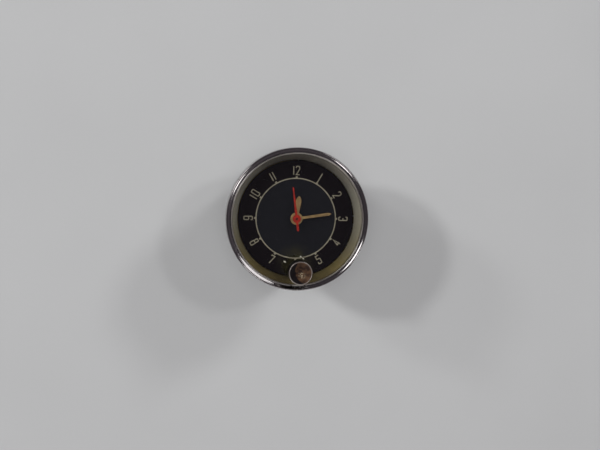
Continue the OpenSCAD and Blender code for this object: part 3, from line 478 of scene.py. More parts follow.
@dataclass(frozen=True, kw_only=True)
class KnobPlate(Finish):
    """Plated brass worn by a thumb: a bright rim over a side darkened by painted shade, round a brown,
    ringed dish with painted shade on its left and a painted highlight of pale flecks.
    """

    rim: str = "#d2c8c0"
    # The side wall is the rim's plating, darkened as painted shade.
    side: str = "#3c3532"
    dish: str = "#584130"
    dark: str = "#2b1e19"
    # The dark left side of the dish is painted shade.
    dish_left_shade: str = "#120d0f"
    # Pale flecks below the dimple are a painted highlight.
    highlight_fleck: str = "#a3967d"
    centre: Corner = (0.0, -21.0, 0.0)
    rim_r: Point = (4.65, 4.35)
    rim_z: Point = (19.4, 19.65)
    stain_mm: float = 2.2
    stain_span: Point = (0.4, 0.66)
    # The lathe's ring marks are really finer than a tenth and are drawn coarser to show.
    ring_mm: float = 0.7
    ring_share: float = 0.25
    # Painted shade covers the dish beyond a ragged circle round this point.
    unshaded_at: Corner = (4.0, 1.0, 0.0)
    ragged_mm: float = 1.2
    dish_left_shade_edge: Point = (6.4, 6.8)
    highlight_fleck_at: Corner = (0.7, -21.9, 18.8)
    highlight_fleck_reach: Point = (1.9, 0.6)
    grit_mm: float = 0.55
    grit_span: Point = (0.5, 0.62)
    plated: Point = (1.0, 0.3)
    rough: Point = (0.3, 0.49)
    gloss: float = 0.2
    ring_depth: float = 0.02
    ring_strength: float = 0.5

    def sockets(self, tree: Tree, coord: Socket) -> dict[str, Any]:
        """Keeps the rim bright, paints shade on the side, and lays stains, ring marks, painted shade on the
        left and painted highlight flecks in the dish.

        Args:
            tree: The material's node tree.
            coord: Object coordinates, in metres.

        Returns:
            What goes into each socket of the surface shader.
        """
        noises = (
            {"Vector": coord, "Scale": per_mm(self.stain_mm), "Detail": 6.0},
            {"Vector": coord, "Scale": per_mm(self.grit_mm), "Detail": 4.0},
        )
        stain, grit = (add(tree, "ShaderNodeTexNoise", noise).outputs[0] for noise in noises)
        middle, unshaded_at = metres(*self.centre), metres(*self.unshaded_at)
        local = add(tree, "ShaderNodeVectorMath", (coord, middle), operation="SUBTRACT").outputs[0]
        flat = add(tree, "ShaderNodeVectorMath", (local, LEVEL), operation="MULTIPLY").outputs[0]
        rings = {"Vector": flat, "Scale": per_mm(self.ring_mm) / math.tau, "Distortion": 2.0, "Detail": 2.0}
        marks = add(tree, "ShaderNodeTexWave", rings, wave_type="RINGS", rings_direction="SPHERICAL")
        away = add(tree, "ShaderNodeVectorMath", (flat, unshaded_at), operation="DISTANCE").outputs["Value"]
        ragged = (stain, self.ragged_mm * MM, away)
        edge = add(tree, "ShaderNodeMath", ragged, operation="MULTIPLY_ADD").outputs[0]
        height = add(tree, "ShaderNodeSeparateXYZ", (coord,)).outputs["Z"]
        inside = self.spot(tree, coord, self.centre, self.rim_r, upright=True)
        near = self.spot(tree, coord, self.highlight_fleck_at, self.highlight_fleck_reach)
        spans = (
            (stain, *self.stain_span), (edge, *metres(*self.dish_left_shade_edge)), (grit, *self.grit_span),
            (height, *metres(*self.rim_z)), (inside, 0.0, 1.0, *self.plated),
            (inside, 0.0, 1.0, *self.rough),
        )
        tone, aside, gritty, raised, plated, rough = (
            add(tree, "ShaderNodeMapRange", s).outputs[0] for s in spans
        )
        ring = (marks.outputs["Fac"], self.ring_share, tone)
        ringed = add(tree, "ShaderNodeMath", ring, operation="MULTIPLY_ADD", use_clamp=True).outputs[0]
        highlight_fleck = add(tree, "ShaderNodeMath", (near, gritty), operation="MULTIPLY").outputs[0]
        brown = linear(self.dish)
        # The second coat is painted shade on the dish's left, and the third is a painted highlight.
        for share, coat in ((ringed, self.dark), (aside, self.dish_left_shade), (highlight_fleck, self.highlight_fleck)):
            tones = {0: share, 6: brown, 7: linear(coat)}
            brown = add(tree, "ShaderNodeMix", tones, data_type="RGBA").outputs[2]
        # The side below the rim gets painted shade.
        tones = {0: raised, 6: linear(self.side), 7: linear(self.rim)}
        wall = add(tree, "ShaderNodeMix", tones, data_type="RGBA").outputs[2]
        colour = add(tree, "ShaderNodeMix", {0: inside, 6: wall, 7: brown}, data_type="RGBA").outputs[2]
        groove = {"Height": ringed, "Distance": self.ring_depth * MM, "Strength": self.ring_strength}
        bump = add(tree, "ShaderNodeBump", groove).outputs[0]
        look = {"Base Color": colour, "Metallic": plated, "Roughness": rough, "Normal": bump}
        return look | {"Specular IOR Level": self.gloss}


# Each finish says what the real surface gives the eye.
# Chromium on brass mirrors the room and shows its age as brown pits.
CHROME = ChromePlate(name="chrome_plated_brass")
# Sprayed black paint under glass stays matt and catches dust.
DIAL_BLACK = DialPaint(name="matt_black_dial_paint")
# The paint is browner towards six o'clock and darker at twelve, and painted shade darkens it towards the
# dial.
REFLECTOR = ConePaint(name="aged_grey_reflector_paint")
# Drawn sheet glass is clear and flat, with a faint gleam.
GLASS = WindowGlass(name="clear_window_glass")
# Nickel plate is rubbed through to oxidised brass in the dish.
KNOB_PLATE = KnobPlate(name="worn_plated_knob_brass")
# Screen-printed ink has yellowed and is slightly uneven in cover.
PRINT_INK = Mottled(
    name="yellowed_cream_ink", base="#827c6c", shade="#6f695a", rough=(0.5, 0.7), patch_mm=2.0,
    grain_mm=0.25, relief_mm=0.004,
)
# Luminous hand paint has gone from cream to tan, with darker dirt in its grain.
HAND_PAINT = Mottled(
    name="tan_hand_enamel", base="#846c47", shade="#6b5739", rough=(0.45, 0.65), patch_mm=2.5,
    grain_mm=0.35, relief_mm=0.008,
)
# Signal red enamel keeps a slight gloss.
RED_PAINT = Mottled(
    name="signal_red_enamel", base="#941808", shade="#741206", rough=(0.5, 0.65), patch_mm=2.0,
    grain_mm=0.3, relief_mm=0.005,
)
# The rivet's head has lost its gloss, and grease has darkened its red.
RIVET_RED = Mottled(
    name="greasy_red_rivet", base="#4f0f0c", shade="#2f0b0a", rough=(0.4, 0.6), patch_mm=0.6,
    grain_mm=0.2, relief_mm=0.005,
)
# Flaked white primer is chalky and flat.
FLAKE = Mottled(
    name="white_primer_flake", base="#c9c7bb", shade="#a5a294", rough=(0.6, 0.8), patch_mm=0.8,
    grain_mm=0.2, relief_mm=0.01,
)
# Zinc on drawn steel is soft grey, with cloudy spangle and draw lines along the can's depth.
# The lines are really finer than a tenth and are drawn coarser to show.
CAN_STEEL = Mottled(
    name="zinc_plated_drawn_can", base="#adaeac", shade="#a3a4a1", metallic=1.0, rough=(0.2, 0.3),
    patch_mm=8.0, grain_mm=0.5, relief_mm=0.004, run=(1.0, 1.0, 0.08),
)
# Turned and zinc-plated fasteners are brighter, with a slight yellow passivation.
ZINC = Mottled(
    name="zinc_plated_fastener_steel", base="#b7b4a6", shade="#a5a192", metallic=1.0,
    rough=(0.28, 0.45), patch_mm=2.5, grain_mm=0.3, relief_mm=0.006,
)
# Polished arbor steel is a bright, cool grey that old oil has dulled in places.
STEEL = Mottled(
    name="polished_arbor_steel", base="#9d9d9f", shade="#7f7d7c", metallic=1.0, rough=(0.22, 0.38),
    patch_mm=2.0, grain_mm=0.25, relief_mm=0.004,
)
# Spring steel is blued by heat, so it is dark with a deep blue gleam.
BLUED = Mottled(
    name="blued_spring_steel", base="#2c3a66", shade="#1d2442", metallic=1.0, rough=(0.25, 0.4),
    patch_mm=1.5, grain_mm=0.2, relief_mm=0.003,
)
# Annealed iron is dull and dark, with the scale of the furnace still on it.
IRON = Mottled(
    name="annealed_soft_iron", base="#6e6a66", shade="#56504a", metallic=1.0, rough=(0.45, 0.65),
    patch_mm=3.0, grain_mm=0.4, relief_mm=0.01,
)
# Movement brass is grained one way by its last file and browned by age.
# The file marks are really finer than a tenth and are drawn coarser to show.
BRASS = Mottled(
    name="grained_movement_brass", base="#b8964e", shade="#957539", metallic=1.0, rough=(0.3, 0.5),
    patch_mm=3.0, grain_mm=0.3, relief_mm=0.006, run=(0.15, 1.0, 1.0),
)
# Pressed paper board is brown, matt and faintly fibrous.
FIBRE = Mottled(
    name="pressed_fibre_board", base="#6f3d2a", shade="#552c1e", rough=(0.55, 0.75), patch_mm=2.0,
    grain_mm=0.35, relief_mm=0.012, run=(0.3, 1.0, 1.0),
)
# Enamelled wire lies turn by turn and gleams a reddish brown. The turns are drawn coarser to show.
COPPER = Mottled(
    name="enamelled_copper_wire", base="#a4582d", shade="#7d3d1e", metallic=1.0, rough=(0.25, 0.4),
    patch_mm=2.0, grain_mm=0.25, relief_mm=0.02, run=(1.0, 0.1, 0.1),
)
# Moulded rubber has gone matt and a little grey with age.
RUBBER = Mottled(
    name="aged_black_rubber", base="#1b1a19", shade="#2b2a27", rough=(0.6, 0.8), patch_mm=2.0,
    grain_mm=0.3, relief_mm=0.01,
)
# Woven cotton sleeving is dark, dry and fuzzy. Its threads are drawn coarser to show.
SLEEVE = Mottled(
    name="cotton_lead_sleeve", base="#39352c", shade="#24221d", rough=(0.7, 0.9), patch_mm=1.5,
    grain_mm=0.3, relief_mm=0.02,
)
# The bench is a sheet of pale grey card. Its fibres are drawn coarser to show.
CARD = Mottled(
    name="pale_grey_card", base="#b9baba", shade="#b6b7b7", rough=(0.75, 0.9), patch_mm=90.0,
    grain_mm=1.5, relief_mm=0.02,
)

SLOT_FINISH: dict[str, Finish] = {
    "chrome_trim": CHROME,
    "clear_glass": GLASS,
    "rubber_seal": RUBBER,
    "reflector_paint": REFLECTOR,
    "dial_black": DIAL_BLACK,
    "cream_paint": HAND_PAINT,
    "red_paint": RED_PAINT,
    "worn_plated_brass": KNOB_PLATE,
    "plated_steel_can": CAN_STEEL,
    "zinc_steel": ZINC,
    "steel": STEEL,
    "blued_steel": BLUED,
    "soft_iron": IRON,
    "brass": BRASS,
    "fibre_board": FIBRE,
    "enamelled_copper": COPPER,
    "lead_sleeve": SLEEVE,
}


def rounded(corners: Iterable[Corner], closed: bool, steps: int = 6) -> list[Point]:
    """Rounds the corners of a path.

    Args:
        corners: Each corner's two coordinates and its radius.
        closed: Whether the path returns to its first corner.
        steps: How many straight pieces make up each rounding.

    Returns:
        The points of the path.
    """
    knots = list(corners)
    path: list[Point] = []
    for k, (x, y, radius) in enumerate(knots):
        inner = closed or 0 < k < len(knots) - 1
        if radius <= 0 or not inner:
            path.append((x, y))
            continue
        here = Vector((x, y))
        back = Vector(knots[k - 1][:2]) - here
        ahead = Vector(knots[(k + 1) % len(knots)][:2]) - here
        half = back.angle(ahead) / 2
        # A rounding takes up just under half of each side at most.
        reach = min(radius / math.tan(half), 0.49 * back.length, 0.49 * ahead.length)
        start, end = here + back.normalized() * reach, here + ahead.normalized() * reach
        middle = here + (back.normalized() + ahead.normalized()).normalized() * reach / math.cos(half)
        sweep = (start - middle).angle_signed(end - middle)
        for n in range(steps + 1):
            spoke = start - middle
            spoke.rotate(Matrix.Rotation(-sweep * n / steps, 2))
            path.append(tuple(middle + spoke))
    return path


def arc(x: float, y: float, radius: float, start: float, end: float, steps: int = 16) -> list[Point]:
    """Gives points on an arc.

    Args:
        x: First coordinate of the centre.
        y: Second coordinate of the centre.
        radius: The arc's radius.
        start: First angle, in degrees.
        end: Last angle, in degrees.
        steps: How many straight pieces the arc has.

    Returns:
        The points from start to end.
    """
    turns = [math.radians(start + (end - start) * n / steps) for n in range(steps + 1)]
    return [(x + radius * math.cos(t), y + radius * math.sin(t)) for t in turns]


def circle(x: float, y: float, radius: float, steps: int = 64) -> list[Point]:
    """Gives the points of a full circle without repeating the first."""
    return arc(x, y, radius, 0, 360, steps)[:-1]


def outward(shape: bmesh.types.BMesh) -> Mesh:
    """Makes a closed shape a mesh whose faces point outwards.

    Args:
        shape: The shape, which is used up.

    Returns:
        The mesh.
    """
    bmesh.ops.recalc_face_normals(shape, faces=shape.faces)
    mesh = bpy.data.meshes.new("shape")
    shape.to_mesh(mesh)
    shape.free()
    return mesh


def lathe(profile: Sequence[Point], centre: Point = (0.0, 0.0), steps: int = 192) -> Mesh:
    """Turns a profile about an axis along Z.

    Args:
        profile: Radius and height of each point. It is a closed loop, or runs from axis to axis.
        centre: Where the axis stands.
        steps: How many sides a turn has.

    Returns:
        The turned mesh.
    """
    shape = bmesh.new()
    rings = []
    for radius, height in profile:
        places = [centre] if radius < TINY else circle(*centre, radius, steps)
        rings.append([shape.verts.new(metres(*place, height)) for place in places])
    pairs = list(zip(rings, rings[1:]))
    if len(rings[0]) > 1:
        pairs.append((rings[-1], rings[0]))
    for low, high in pairs:
        for n in range(steps):
            m = (n + 1) % steps
            face = [low[n % len(low)], low[m % len(low)], high[m % len(high)], high[n % len(high)]]
            shape.faces.new(dict.fromkeys(face))
    return outward(shape)


def plate(outlines: Iterable[Sequence[Point]], low: float, high: float, edge: float = 0.0) -> Mesh:
    """Cuts a flat plate with softened edges.

    Args:
        outlines: The outside and any holes, each a closed loop.
        low: Height of the underside.
        high: Height of the top.
        edge: Radius of the softened edges.

    Returns:
        The plate's mesh, in place.
    """
    curve = bpy.data.curves.new("plate", "CURVE")
    curve.dimensions = "2D"
    curve.fill_mode = "BOTH"
    curve.extrude = (high - low) / 2 - edge
    curve.bevel_depth = edge
    curve.offset = -edge
    curve.bevel_resolution = 2
    for outline in outlines:
        spline = curve.splines.new("POLY")
        spline.points.add(len(outline) - 1)
        for point, (x, y) in zip(spline.points, outline):
            point.co = (x, y, 0.0, 1.0)
        spline.use_cyclic_u = True
    carrier = bpy.data.objects.new("plate", curve)
    bpy.context.scene.collection.objects.link(carrier)
    raw = bpy.data.meshes.new_from_object(carrier.evaluated_get(bpy.context.evaluated_depsgraph_get()))
    bpy.data.objects.remove(carrier)
    bpy.data.curves.remove(curve)
    raw.transform(Matrix.Scale(MM, 4) @ Matrix.Translation((0, 0, (low + high) / 2)))
    shape = bmesh.new()
    shape.from_mesh(raw)
    bpy.data.meshes.remove(raw)
    bmesh.ops.remove_doubles(shape, verts=shape.verts, dist=1e-4 * MM)
    return outward(shape)


def join(meshes: Iterable[Mesh]) -> Mesh:
    """Puts several meshes into one.

    Args:
        meshes: The meshes, which are used up.

    Returns:
        The whole.
    """
    shape = bmesh.new()
    for mesh in meshes:
        shape.from_mesh(mesh)
        bpy.data.meshes.remove(mesh)
    whole = bpy.data.meshes.new("joined")
    shape.to_mesh(whole)
    shape.free()
    return whole


def turned(mesh: Mesh, clock_deg: float) -> Mesh:
    """Turns a mesh about the dial's centre, clockwise from twelve o'clock."""
    mesh.transform(Matrix.Rotation(-math.radians(clock_deg), 4, "Z"))
    return mesh


def ribbon(path: Sequence[Point], closed: bool, width: float) -> list[list[Point]]:
    """Draws a stroke of even width along a path.

    Args:
        path: The middle of the stroke.
        closed: Whether the stroke is a loop.
        width: The stroke's width.

    Returns:
        One outline, or the outside and the inside of a loop.
    """
    sides: tuple[list[Point], list[Point]] = ([], [])
    count = len(path)
    for k, (x, y) in enumerate(path):
        before = Vector(path[k - 1]) if closed or k else None
        after = Vector(path[(k + 1) % count]) if closed or k < count - 1 else None
        here = Vector((x, y))
        ways = [w.normalized() for w in (before and here - before, after and after - here) if w]
        along = sum(ways, Vector((0.0, 0.0))).normalized()
        # A sharp bend widens the stroke at most twofold.
        stretch = width / 2 / max(along.dot(ways[0]), 0.5)
        across = Vector((-along.y, along.x)) * stretch
        sides[0].append(tuple(here + across))
        sides[1].append(tuple(here - across))
    return list(sides) if closed else [sides[0] + sides[1][::-1]]


def new_tree(name: str, sizes: dict[str, str]) -> tuple[Tree, bpy.types.NodeOutputs]:
    """Starts a Geometry Nodes tree.

    Args:
        name: The tree's name.
        sizes: The kind of each named input.

    Returns:
        The tree, and the sockets that give its inputs.
    """
    tree = bpy.data.node_groups.new(name, "GeometryNodeTree")
    for label, kind in sizes.items():
        tree.interface.new_socket(name=label, in_out="INPUT", socket_type=f"NodeSocket{kind}")
    tree.interface.new_socket(name="Geometry", in_out="OUTPUT", socket_type="NodeSocketGeometry")
    return tree, add(tree, "NodeGroupInput").outputs


def close_tree(tree: Tree, shape: Socket, finish: Socket) -> None:
    """Ends a tree in real geometry with its material set.

    Args:
        tree: The tree to end.
        shape: What the tree has made.
        finish: The input that names the material.
    """
    real = add(tree, "GeometryNodeRealizeInstances", (shape,)).outputs[0]
    dressed = add(tree, "GeometryNodeSetMaterial", {"Geometry": real, "Material": finish}).outputs[0]
    add(tree, "NodeGroupOutput", (dressed,))


def grow(tree: Tree, values: dict[str, Any]) -> Mesh:
    """Runs a Geometry Nodes tree and keeps its result as a plain mesh.

    Args:
        tree: The tree to run.
        values: A value for each named input.

    Returns:
        The mesh that the tree makes.
    """
    carrier = bpy.data.objects.new(tree.name, bpy.data.meshes.new(tree.name))
    bpy.context.scene.collection.objects.link(carrier)
    modifier = carrier.modifiers.new(tree.name, "NODES")
    modifier.node_group = tree
    for item in tree.interface.items_tree:
        if item.in_out == "INPUT" and item.name in values:
            modifier[item.identifier] = values[item.name]
    graph = bpy.context.evaluated_depsgraph_get()
    mesh = bpy.data.meshes.new_from_object(carrier.evaluated_get(graph))
    carrier.modifiers.clear()
    bpy.data.objects.remove(carrier)
    return mesh


def wound_tree(name: str) -> Tree:
    """Builds the tree that winds a wire, or the ridge of a thread, up an axis.

    Args:
        name: The tree's name.

    Returns:
        The tree, whose inputs give the winding's sizes.
    """
    sizes = dict.fromkeys(("Turns", "Radius", "Length", "Wire"), "Float")
    tree, given = new_tree(name, sizes | {"Sides": "Int", "Foot": "Vector", "Finish": "Material"})
    coil = {"Rotations": given["Turns"], "Height": given["Length"], "Resolution": 40}
    coil |= dict.fromkeys(("Start Radius", "End Radius"), given["Radius"])
    wind = add(tree, "GeometryNodeCurveSpiral", coil).outputs[0]
    section = {"Resolution": given["Sides"], "Radius": given["Wire"]}
    wire = add(tree, "GeometryNodeCurvePrimitiveCircle", section).outputs[0]
    sweep = {"Curve": wind, "Profile Curve": wire, "Fill Caps": True}
    swept = add(tree, "GeometryNodeCurveToMesh", sweep).outputs[0]
    placed = add(tree, "GeometryNodeSetPosition", {"Geometry": swept, "Offset": given["Foot"]}).outputs[0]
    close_tree(tree, placed, given["Finish"])
    return tree


def show(name: str, mesh: Mesh, finish: Finish, body: Body, slot: str, *nodes: str) -> bpy.types.Object:
    """Makes a piece of the clock from a mesh that is already in place.

    Args:
        name: The piece's name.
        mesh: Its mesh, in metres.
        finish: Its surface.
        body: The CAD body that it rides on.
        slot: The record's material slot; not used.
        nodes: The CAD nodes that it stands for.

    Returns:
        The piece.
    """
    mesh.name = name
    mesh.materials.clear()
    mesh.materials.append(finish.material())
    for face in mesh.polygons:
        face.material_index = 0
        face.use_smooth = True
    mesh.set_sharp_from_angle(angle=math.radians(SHARP_DEG))
    piece = bpy.data.objects.new(name, mesh)
    bpy.context.scene.collection.objects.link(piece)
    if nodes:
        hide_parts(*nodes)
    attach(piece, body.value)
    LOG.info("%s: %d faces on %s", name, len(mesh.polygons), body.value)
    return piece


@dataclass
class Bezel:
    """The rolled chrome ring: an outer bead, a slope down from it and the lip round the glass."""

    radius: float = 30.0
    wall: float = 0.8
    foot_r: float = 0.35
    seat_in: float = 26.9
    lip_z: float = 7.4
    bead: Corner = (29.35, 7.6, 0.65)
    lip: Corner = (27.7, 7.8, 0.4)
    lip_deg: Point = (8.0, 270.0)
    slope_deg: Point = (28.0, 15.0)
    slope_steps: int = 8

    def fall(self) -> list[Point]:
        """Draws the hollow slope from the bead down to the lip.

        Returns:
            Radius and height of each point of the slope.
        """
        steep, flat = self.slope_deg
        radius, height = arc(*self.bead, 0, 90 + steep)[-1]
        run = (radius - self.lip[0] - self.lip[2]) / self.slope_steps
        path = []
        for n in range(self.slope_steps):
            tilt = steep + (flat - steep) * (n + 0.5) / self.slope_steps
            radius, height = radius - run, height - run * math.tan(math.radians(tilt))
            path.append((radius, height))
        return path

    def build(self) -> None:
        """Turns the ring and sets it in place of its solid."""
        inner = self.radius - self.wall
        skirt = [(self.seat_in, 0.0)] + arc(self.radius - self.foot_r, self.foot_r, self.foot_r, -90, 0, 6)
        bead = arc(*self.bead, 0, 90 + self.slope_deg[0], 20)
        crown = bead + self.fall() + arc(*self.lip, *self.lip_deg, 24)
        shell = [(inner, self.lip_z), (inner, self.wall), (self.seat_in, self.wall)]
        mesh = lathe(skirt + crown + shell, steps=256)
        show("bezel_ring", mesh, CHROME, Body.CLOCK, "chrome_trim", "bezel")


@dataclass
class Reflector:
    """The painted cone between the glass and the dial."""

    top: Point = (27.2, 4.8)
    foot: Point = (24.8, 0.9)
    wall: float = 0.4
    rim: Point = (29.0, 4.2)
    edge_r: float = 0.4
    foot_edge_r: float = 0.1
    back_edge_r: float = 0.3

    def build(self) -> None:
        """Turns the cone with a soft upper edge."""
        out = [(self.rim[0], self.top[1], 0.0), (*self.top, self.edge_r), (*self.foot, self.foot_edge_r)]
        under = (self.top[0] + self.wall, self.rim[1], self.back_edge_r)
        back = [(self.foot[0] + self.wall, self.foot[1], 0.0), under, (*self.rim, 0.0)]
        mesh = lathe(rounded(out + back, closed=True), steps=256)
        show("reflector_cone", mesh, REFLECTOR, Body.CLOCK, "reflector_paint", "reflector_ring")


@dataclass
class DialPrint:
    """Everything printed on the dial: the circle, its ticks and the hour numerals."""

    ground: float = 0.6
    ink: float = 0.02
    tick_lift: float = 0.004
    stroke_lift: float = 0.003
    circle_r: float = 17.0
    line: float = 0.46
    tick: Point = (0.8, 0.8)
    middle_r: float = 20.3
    stroke: float = 0.42
    half_w: float = 0.71
    half_h: float = 1.79
    lone: float = 0.6

    def strokes(self, sign: str) -> list[tuple[list[Corner], bool]]:
        """Gives the strokes of one sign.

        Args:
            sign: A single digit, or I for the longer one that stands alone.

        Returns:
            The corners of each stroke, and whether it is a loop.
        """
        w, h = self.half_w, self.half_h
        signs: dict[str, list[tuple[list[Corner], bool]]] = {
            "0": [([(-w, -h, 0.4), (w, -h, 0.4), (w, h, 0.4), (-w, h, 0.4)], True)],
            "1": [([(0, h, 0), (0, -h, 0)], False)],
            "I": [([(0, h, 0), (0, -h - self.lone, 0)], False)],
            "2": [
                ([(-w, h - 0.8, 0), (-w, h, 0.6), (w, h, 0.6), (w, 0.6, 0.5), (-w, -h, 0),
                  (w, -h, 0)], False)
            ],
            "3": [
                ([(-w, h - 0.7, 0), (-w, h, 0.3), (w, h, 0.35), (w, -h, 0.35), (-w, -h, 0.3),
                  (-w, 0.7 - h, 0)], False),
                ([(-0.2, 0, 0), (w, 0, 0)], False),
            ],
            "4": [([(0.3, -h, 0), (0.3, h, 0), (-w, -0.95, 0), (w, -0.95, 0)], False)],
            "5": [
                ([(w, h, 0), (-w, h, 0), (-w, 0.35, 0), (w, 0.35, 0.35), (w, -h, 0.35), (-w, -h, 0.3),
                  (-w, 0.9 - h, 0)], False)
            ],
            "7": [([(-w, h - 0.45, 0), (-w, h, 0), (w, h, 0), (-0.1, -h, 0)], False)],
            "8": [
                ([(-0.6, 0.2, 0.25), (0.6, 0.2, 0.25), (0.6, h, 0.3), (-0.6, h, 0.3)], True),
                ([(-w, -h, 0.35), (w, -h, 0.35), (w, 0.2, 0.3), (-w, 0.2, 0.3)], True),
            ],
            "9": [
                ([(-w, -0.2, 0.35), (w, -0.2, 0.3), (w, h, 0.35), (-w, h, 0.35)], True),
                ([(w, 0.6, 0), (w, -h, 0.35), (-w, -h, 0.3), (-w, 0.7 - h, 0)], False),
            ],
        }
        return signs[sign]

    def numeral(self, hour: int, signs: Sequence[tuple[str, float]], top: Top) -> Mesh:
        """Draws one hour.

        Args:
            hour: Its place on the dial.
            signs: Each digit, and how far right of the middle it stands.
            top: Which way its top points.

        Returns:
            The numeral's mesh.
        """
        made: list[Mesh] = []
        for sign, aside in signs:
            for corners, closed in self.strokes(sign):
                path = [(x + aside, y) for x, y in rounded(corners, closed)]
                # Each stroke lies a hair above the last, so that no two tops coincide.
                high = self.ground + self.ink + self.stroke_lift * len(made)
                mesh = plate(ribbon(path, closed, self.stroke), self.ground, high)
                if top is Top.INWARD:
                    mesh.transform(Matrix.Rotation(math.pi, 4, "Z"))
                mesh.transform(Matrix.Translation((0, self.middle_r * MM, 0)))
                made.append(turned(mesh, 30 * hour))
        return join(made)

    def tick_tree(self) -> Tree:
        """Builds the tree that sets a tick at each hour.

        Returns:
            The tree, whose inputs give the ticks' number, place and size.
        """
        sizes = {"Count": "Int", "Radius": "Float", "Tick": "Vector", "Height": "Float"}
        sizes |= {"Finish": "Material"}
        tree, given = new_tree("hour_ticks", sizes)
        round_hours = {"Vertices": given["Count"], "Radius": given["Radius"]}
        hours = add(tree, "GeometryNodeMeshCircle", round_hours).outputs["Mesh"]
        lift = add(tree, "ShaderNodeCombineXYZ", {"Z": given["Height"]}).outputs[0]
        raised = add(tree, "GeometryNodeSetPosition", {"Geometry": hours, "Offset": lift}).outputs[0]
        bar = add(tree, "GeometryNodeMeshCube", {"Size": given["Tick"]}).outputs["Mesh"]
        place = add(tree, "GeometryNodeInputPosition").outputs[0]
        level = add(tree, "ShaderNodeVectorMath", (place, LEVEL), operation="MULTIPLY").outputs[0]
        turn = add(tree, "FunctionNodeAlignRotationToVector", {"Vector": level}, axis="Y").outputs[0]
        bars = {"Points": raised, "Instance": bar, "Rotation": turn}
        close_tree(tree, add(tree, "GeometryNodeInstanceOnPoints", bars).outputs[0], given["Finish"])
        return tree

    def build(self) -> None:
        """Prints the dial."""
        low, high, top = self.circle_r - self.line / 2, self.circle_r + self.line / 2, self.ground + self.ink
        ring = lathe([(low, self.ground), (high, self.ground), (high, top), (low, top)], steps=256)
        show("printed_circle", ring, PRINT_INK, Body.CLOCK, "cream_paint")
        (width, length), thick = self.tick, self.ink + self.tick_lift
        sizes = {
            "Count": 12,
            "Radius": (self.circle_r + length / 2) * MM,
            "Tick": metres(width, length, thick),
            "Height": (self.ground + thick / 2) * MM,
            "Finish": PRINT_INK.material(),
        }
        show("printed_ticks", grow(self.tick_tree(), sizes), PRINT_INK, Body.CLOCK, "cream_paint")
        out, inn = Top.OUTWARD, Top.INWARD
        hours = {
            1: ([("I", 0.0)], out), 2: ([("2", 0.0)], out), 3: ([("3", 0.0)], out),
            4: ([("4", 0.0)], inn), 5: ([("5", 0.0)], inn), 7: ([("7", 0.0)], inn),
            8: ([("8", 0.0)], inn), 9: ([("9", 0.0)], out), 10: ([("1", -1.42), ("0", 0.55)], out),
            11: ([("1", -0.63), ("1", 0.63)], out), 12: ([("1", -1.3), ("2", 0.5)], out),
        }
        for hour, (signs, way) in hours.items():
            show(f"numeral_{hour}", self.numeral(hour, signs, way), PRINT_INK, Body.CLOCK, "cream_paint")


@dataclass
class Flakes:
    """Chips of old paint that lie on the dial beside the knob."""

    ground: float = 0.6
    thick: float = 0.06
    leaf: tuple[Point, ...] = (
        (-0.5, -0.12), (-0.2, -0.3), (0.25, -0.22), (0.5, 0.02), (0.2, 0.24), (-0.3, 0.2),
    )
    chips: tuple[tuple[float, float, float, float], ...] = (
        (-4.4, -18.5, 1.25, -35.0), (2.4, -16.3, 0.9, -40.0),
        (3.5, -17.2, 0.8, -35.0), (2.6, -18.0, 0.5, 20.0),
    )

    def build(self) -> None:
        """Lays each chip flat as a thin uneven leaf."""
        made = []
        for x, y, size, angle in self.chips:
            leaf = [(u * size, v * size) for u, v in self.leaf]
            mesh = plate([leaf], self.ground, self.ground + self.thick)
            mesh.transform(Matrix.Rotation(math.radians(angle), 4, "Z"))
            mesh.transform(Matrix.Translation(metres(x, y, 0)))
            made.append(mesh)
        show("paint_chips", join(made), FLAKE, Body.CLOCK, "cream_paint")


@dataclass
class Hand:
    """One flat hand: a hub, a blade and perhaps a tail."""

    name: str
    node: str
    body: Body
    finish: Finish
    slot: str
    low: float
    hub_r: float
    bore_r: float
    blade: tuple[Point, ...]
    tail: tuple[Point, ...]
    clock_deg: float
    thick: float = 0.3
    edge: float = 0.07

    def outline(self) -> list[Point]:
        """Draws the hand as it points to twelve.

        Returns:
            The points of its outline.
        """
        root, foot = self.blade[0][1], self.tail[0][1] if self.tail else 0.0
        up = math.degrees(math.acos(root / self.hub_r))
        down = -math.degrees(math.acos(foot / self.hub_r))
        right = [(w, y) for y, w in reversed(self.blade[1:])]
        right += arc(0, 0, self.hub_r, up, down, 24)
        right += [(w, y) for y, w in self.tail[1:]]
        return right + [(-x, y) for x, y in reversed(right) if x > TINY]

    def build(self) -> None:
        """Stamps the hand and sets it on its pipe."""
        outlines = [self.outline(), circle(0, 0, self.bore_r, 32)]
        mesh = turned(plate(outlines, self.low, self.low + self.thick, self.edge), self.clock_deg)
        show(self.name, mesh, self.finish, self.body, self.slot, self.node)


HANDS = (
    Hand(
        "hour_pointer", "hour_hand", Body.HOUR, HAND_PAINT, "cream_paint", 1.5, 2.3, 1.75,
        ((2.0, 0.85), (6.9, 1.2), (8.0, 1.1), (9.0, 0.62), (9.4, 0.3), (9.5, 0.1)), (), 6.8,
    ),
    Hand(
        "minute_pointer", "minute_hand", Body.MINUTE, HAND_PAINT, "cream_paint", 2.45, 2.6, 1.25,
        ((2.4, 0.6), (3.4, 0.52), (13.7, 0.6), (14.4, 0.36), (14.9, 0.08)), (), 81.5,
    ),
    Hand(
        "second_pointer", "second_hand", Body.SECOND, RED_PAINT, "red_paint", 3.4, 1.75, 0.45,
        ((1.6, 0.5), (6.0, 0.4), (13.2, 0.26), (13.4, 0.12)),
        ((-1.6, 0.45), (-4.7, 0.5), (-5.1, 0.42), (-5.3, 0.16)), 352.5,
    ),
)


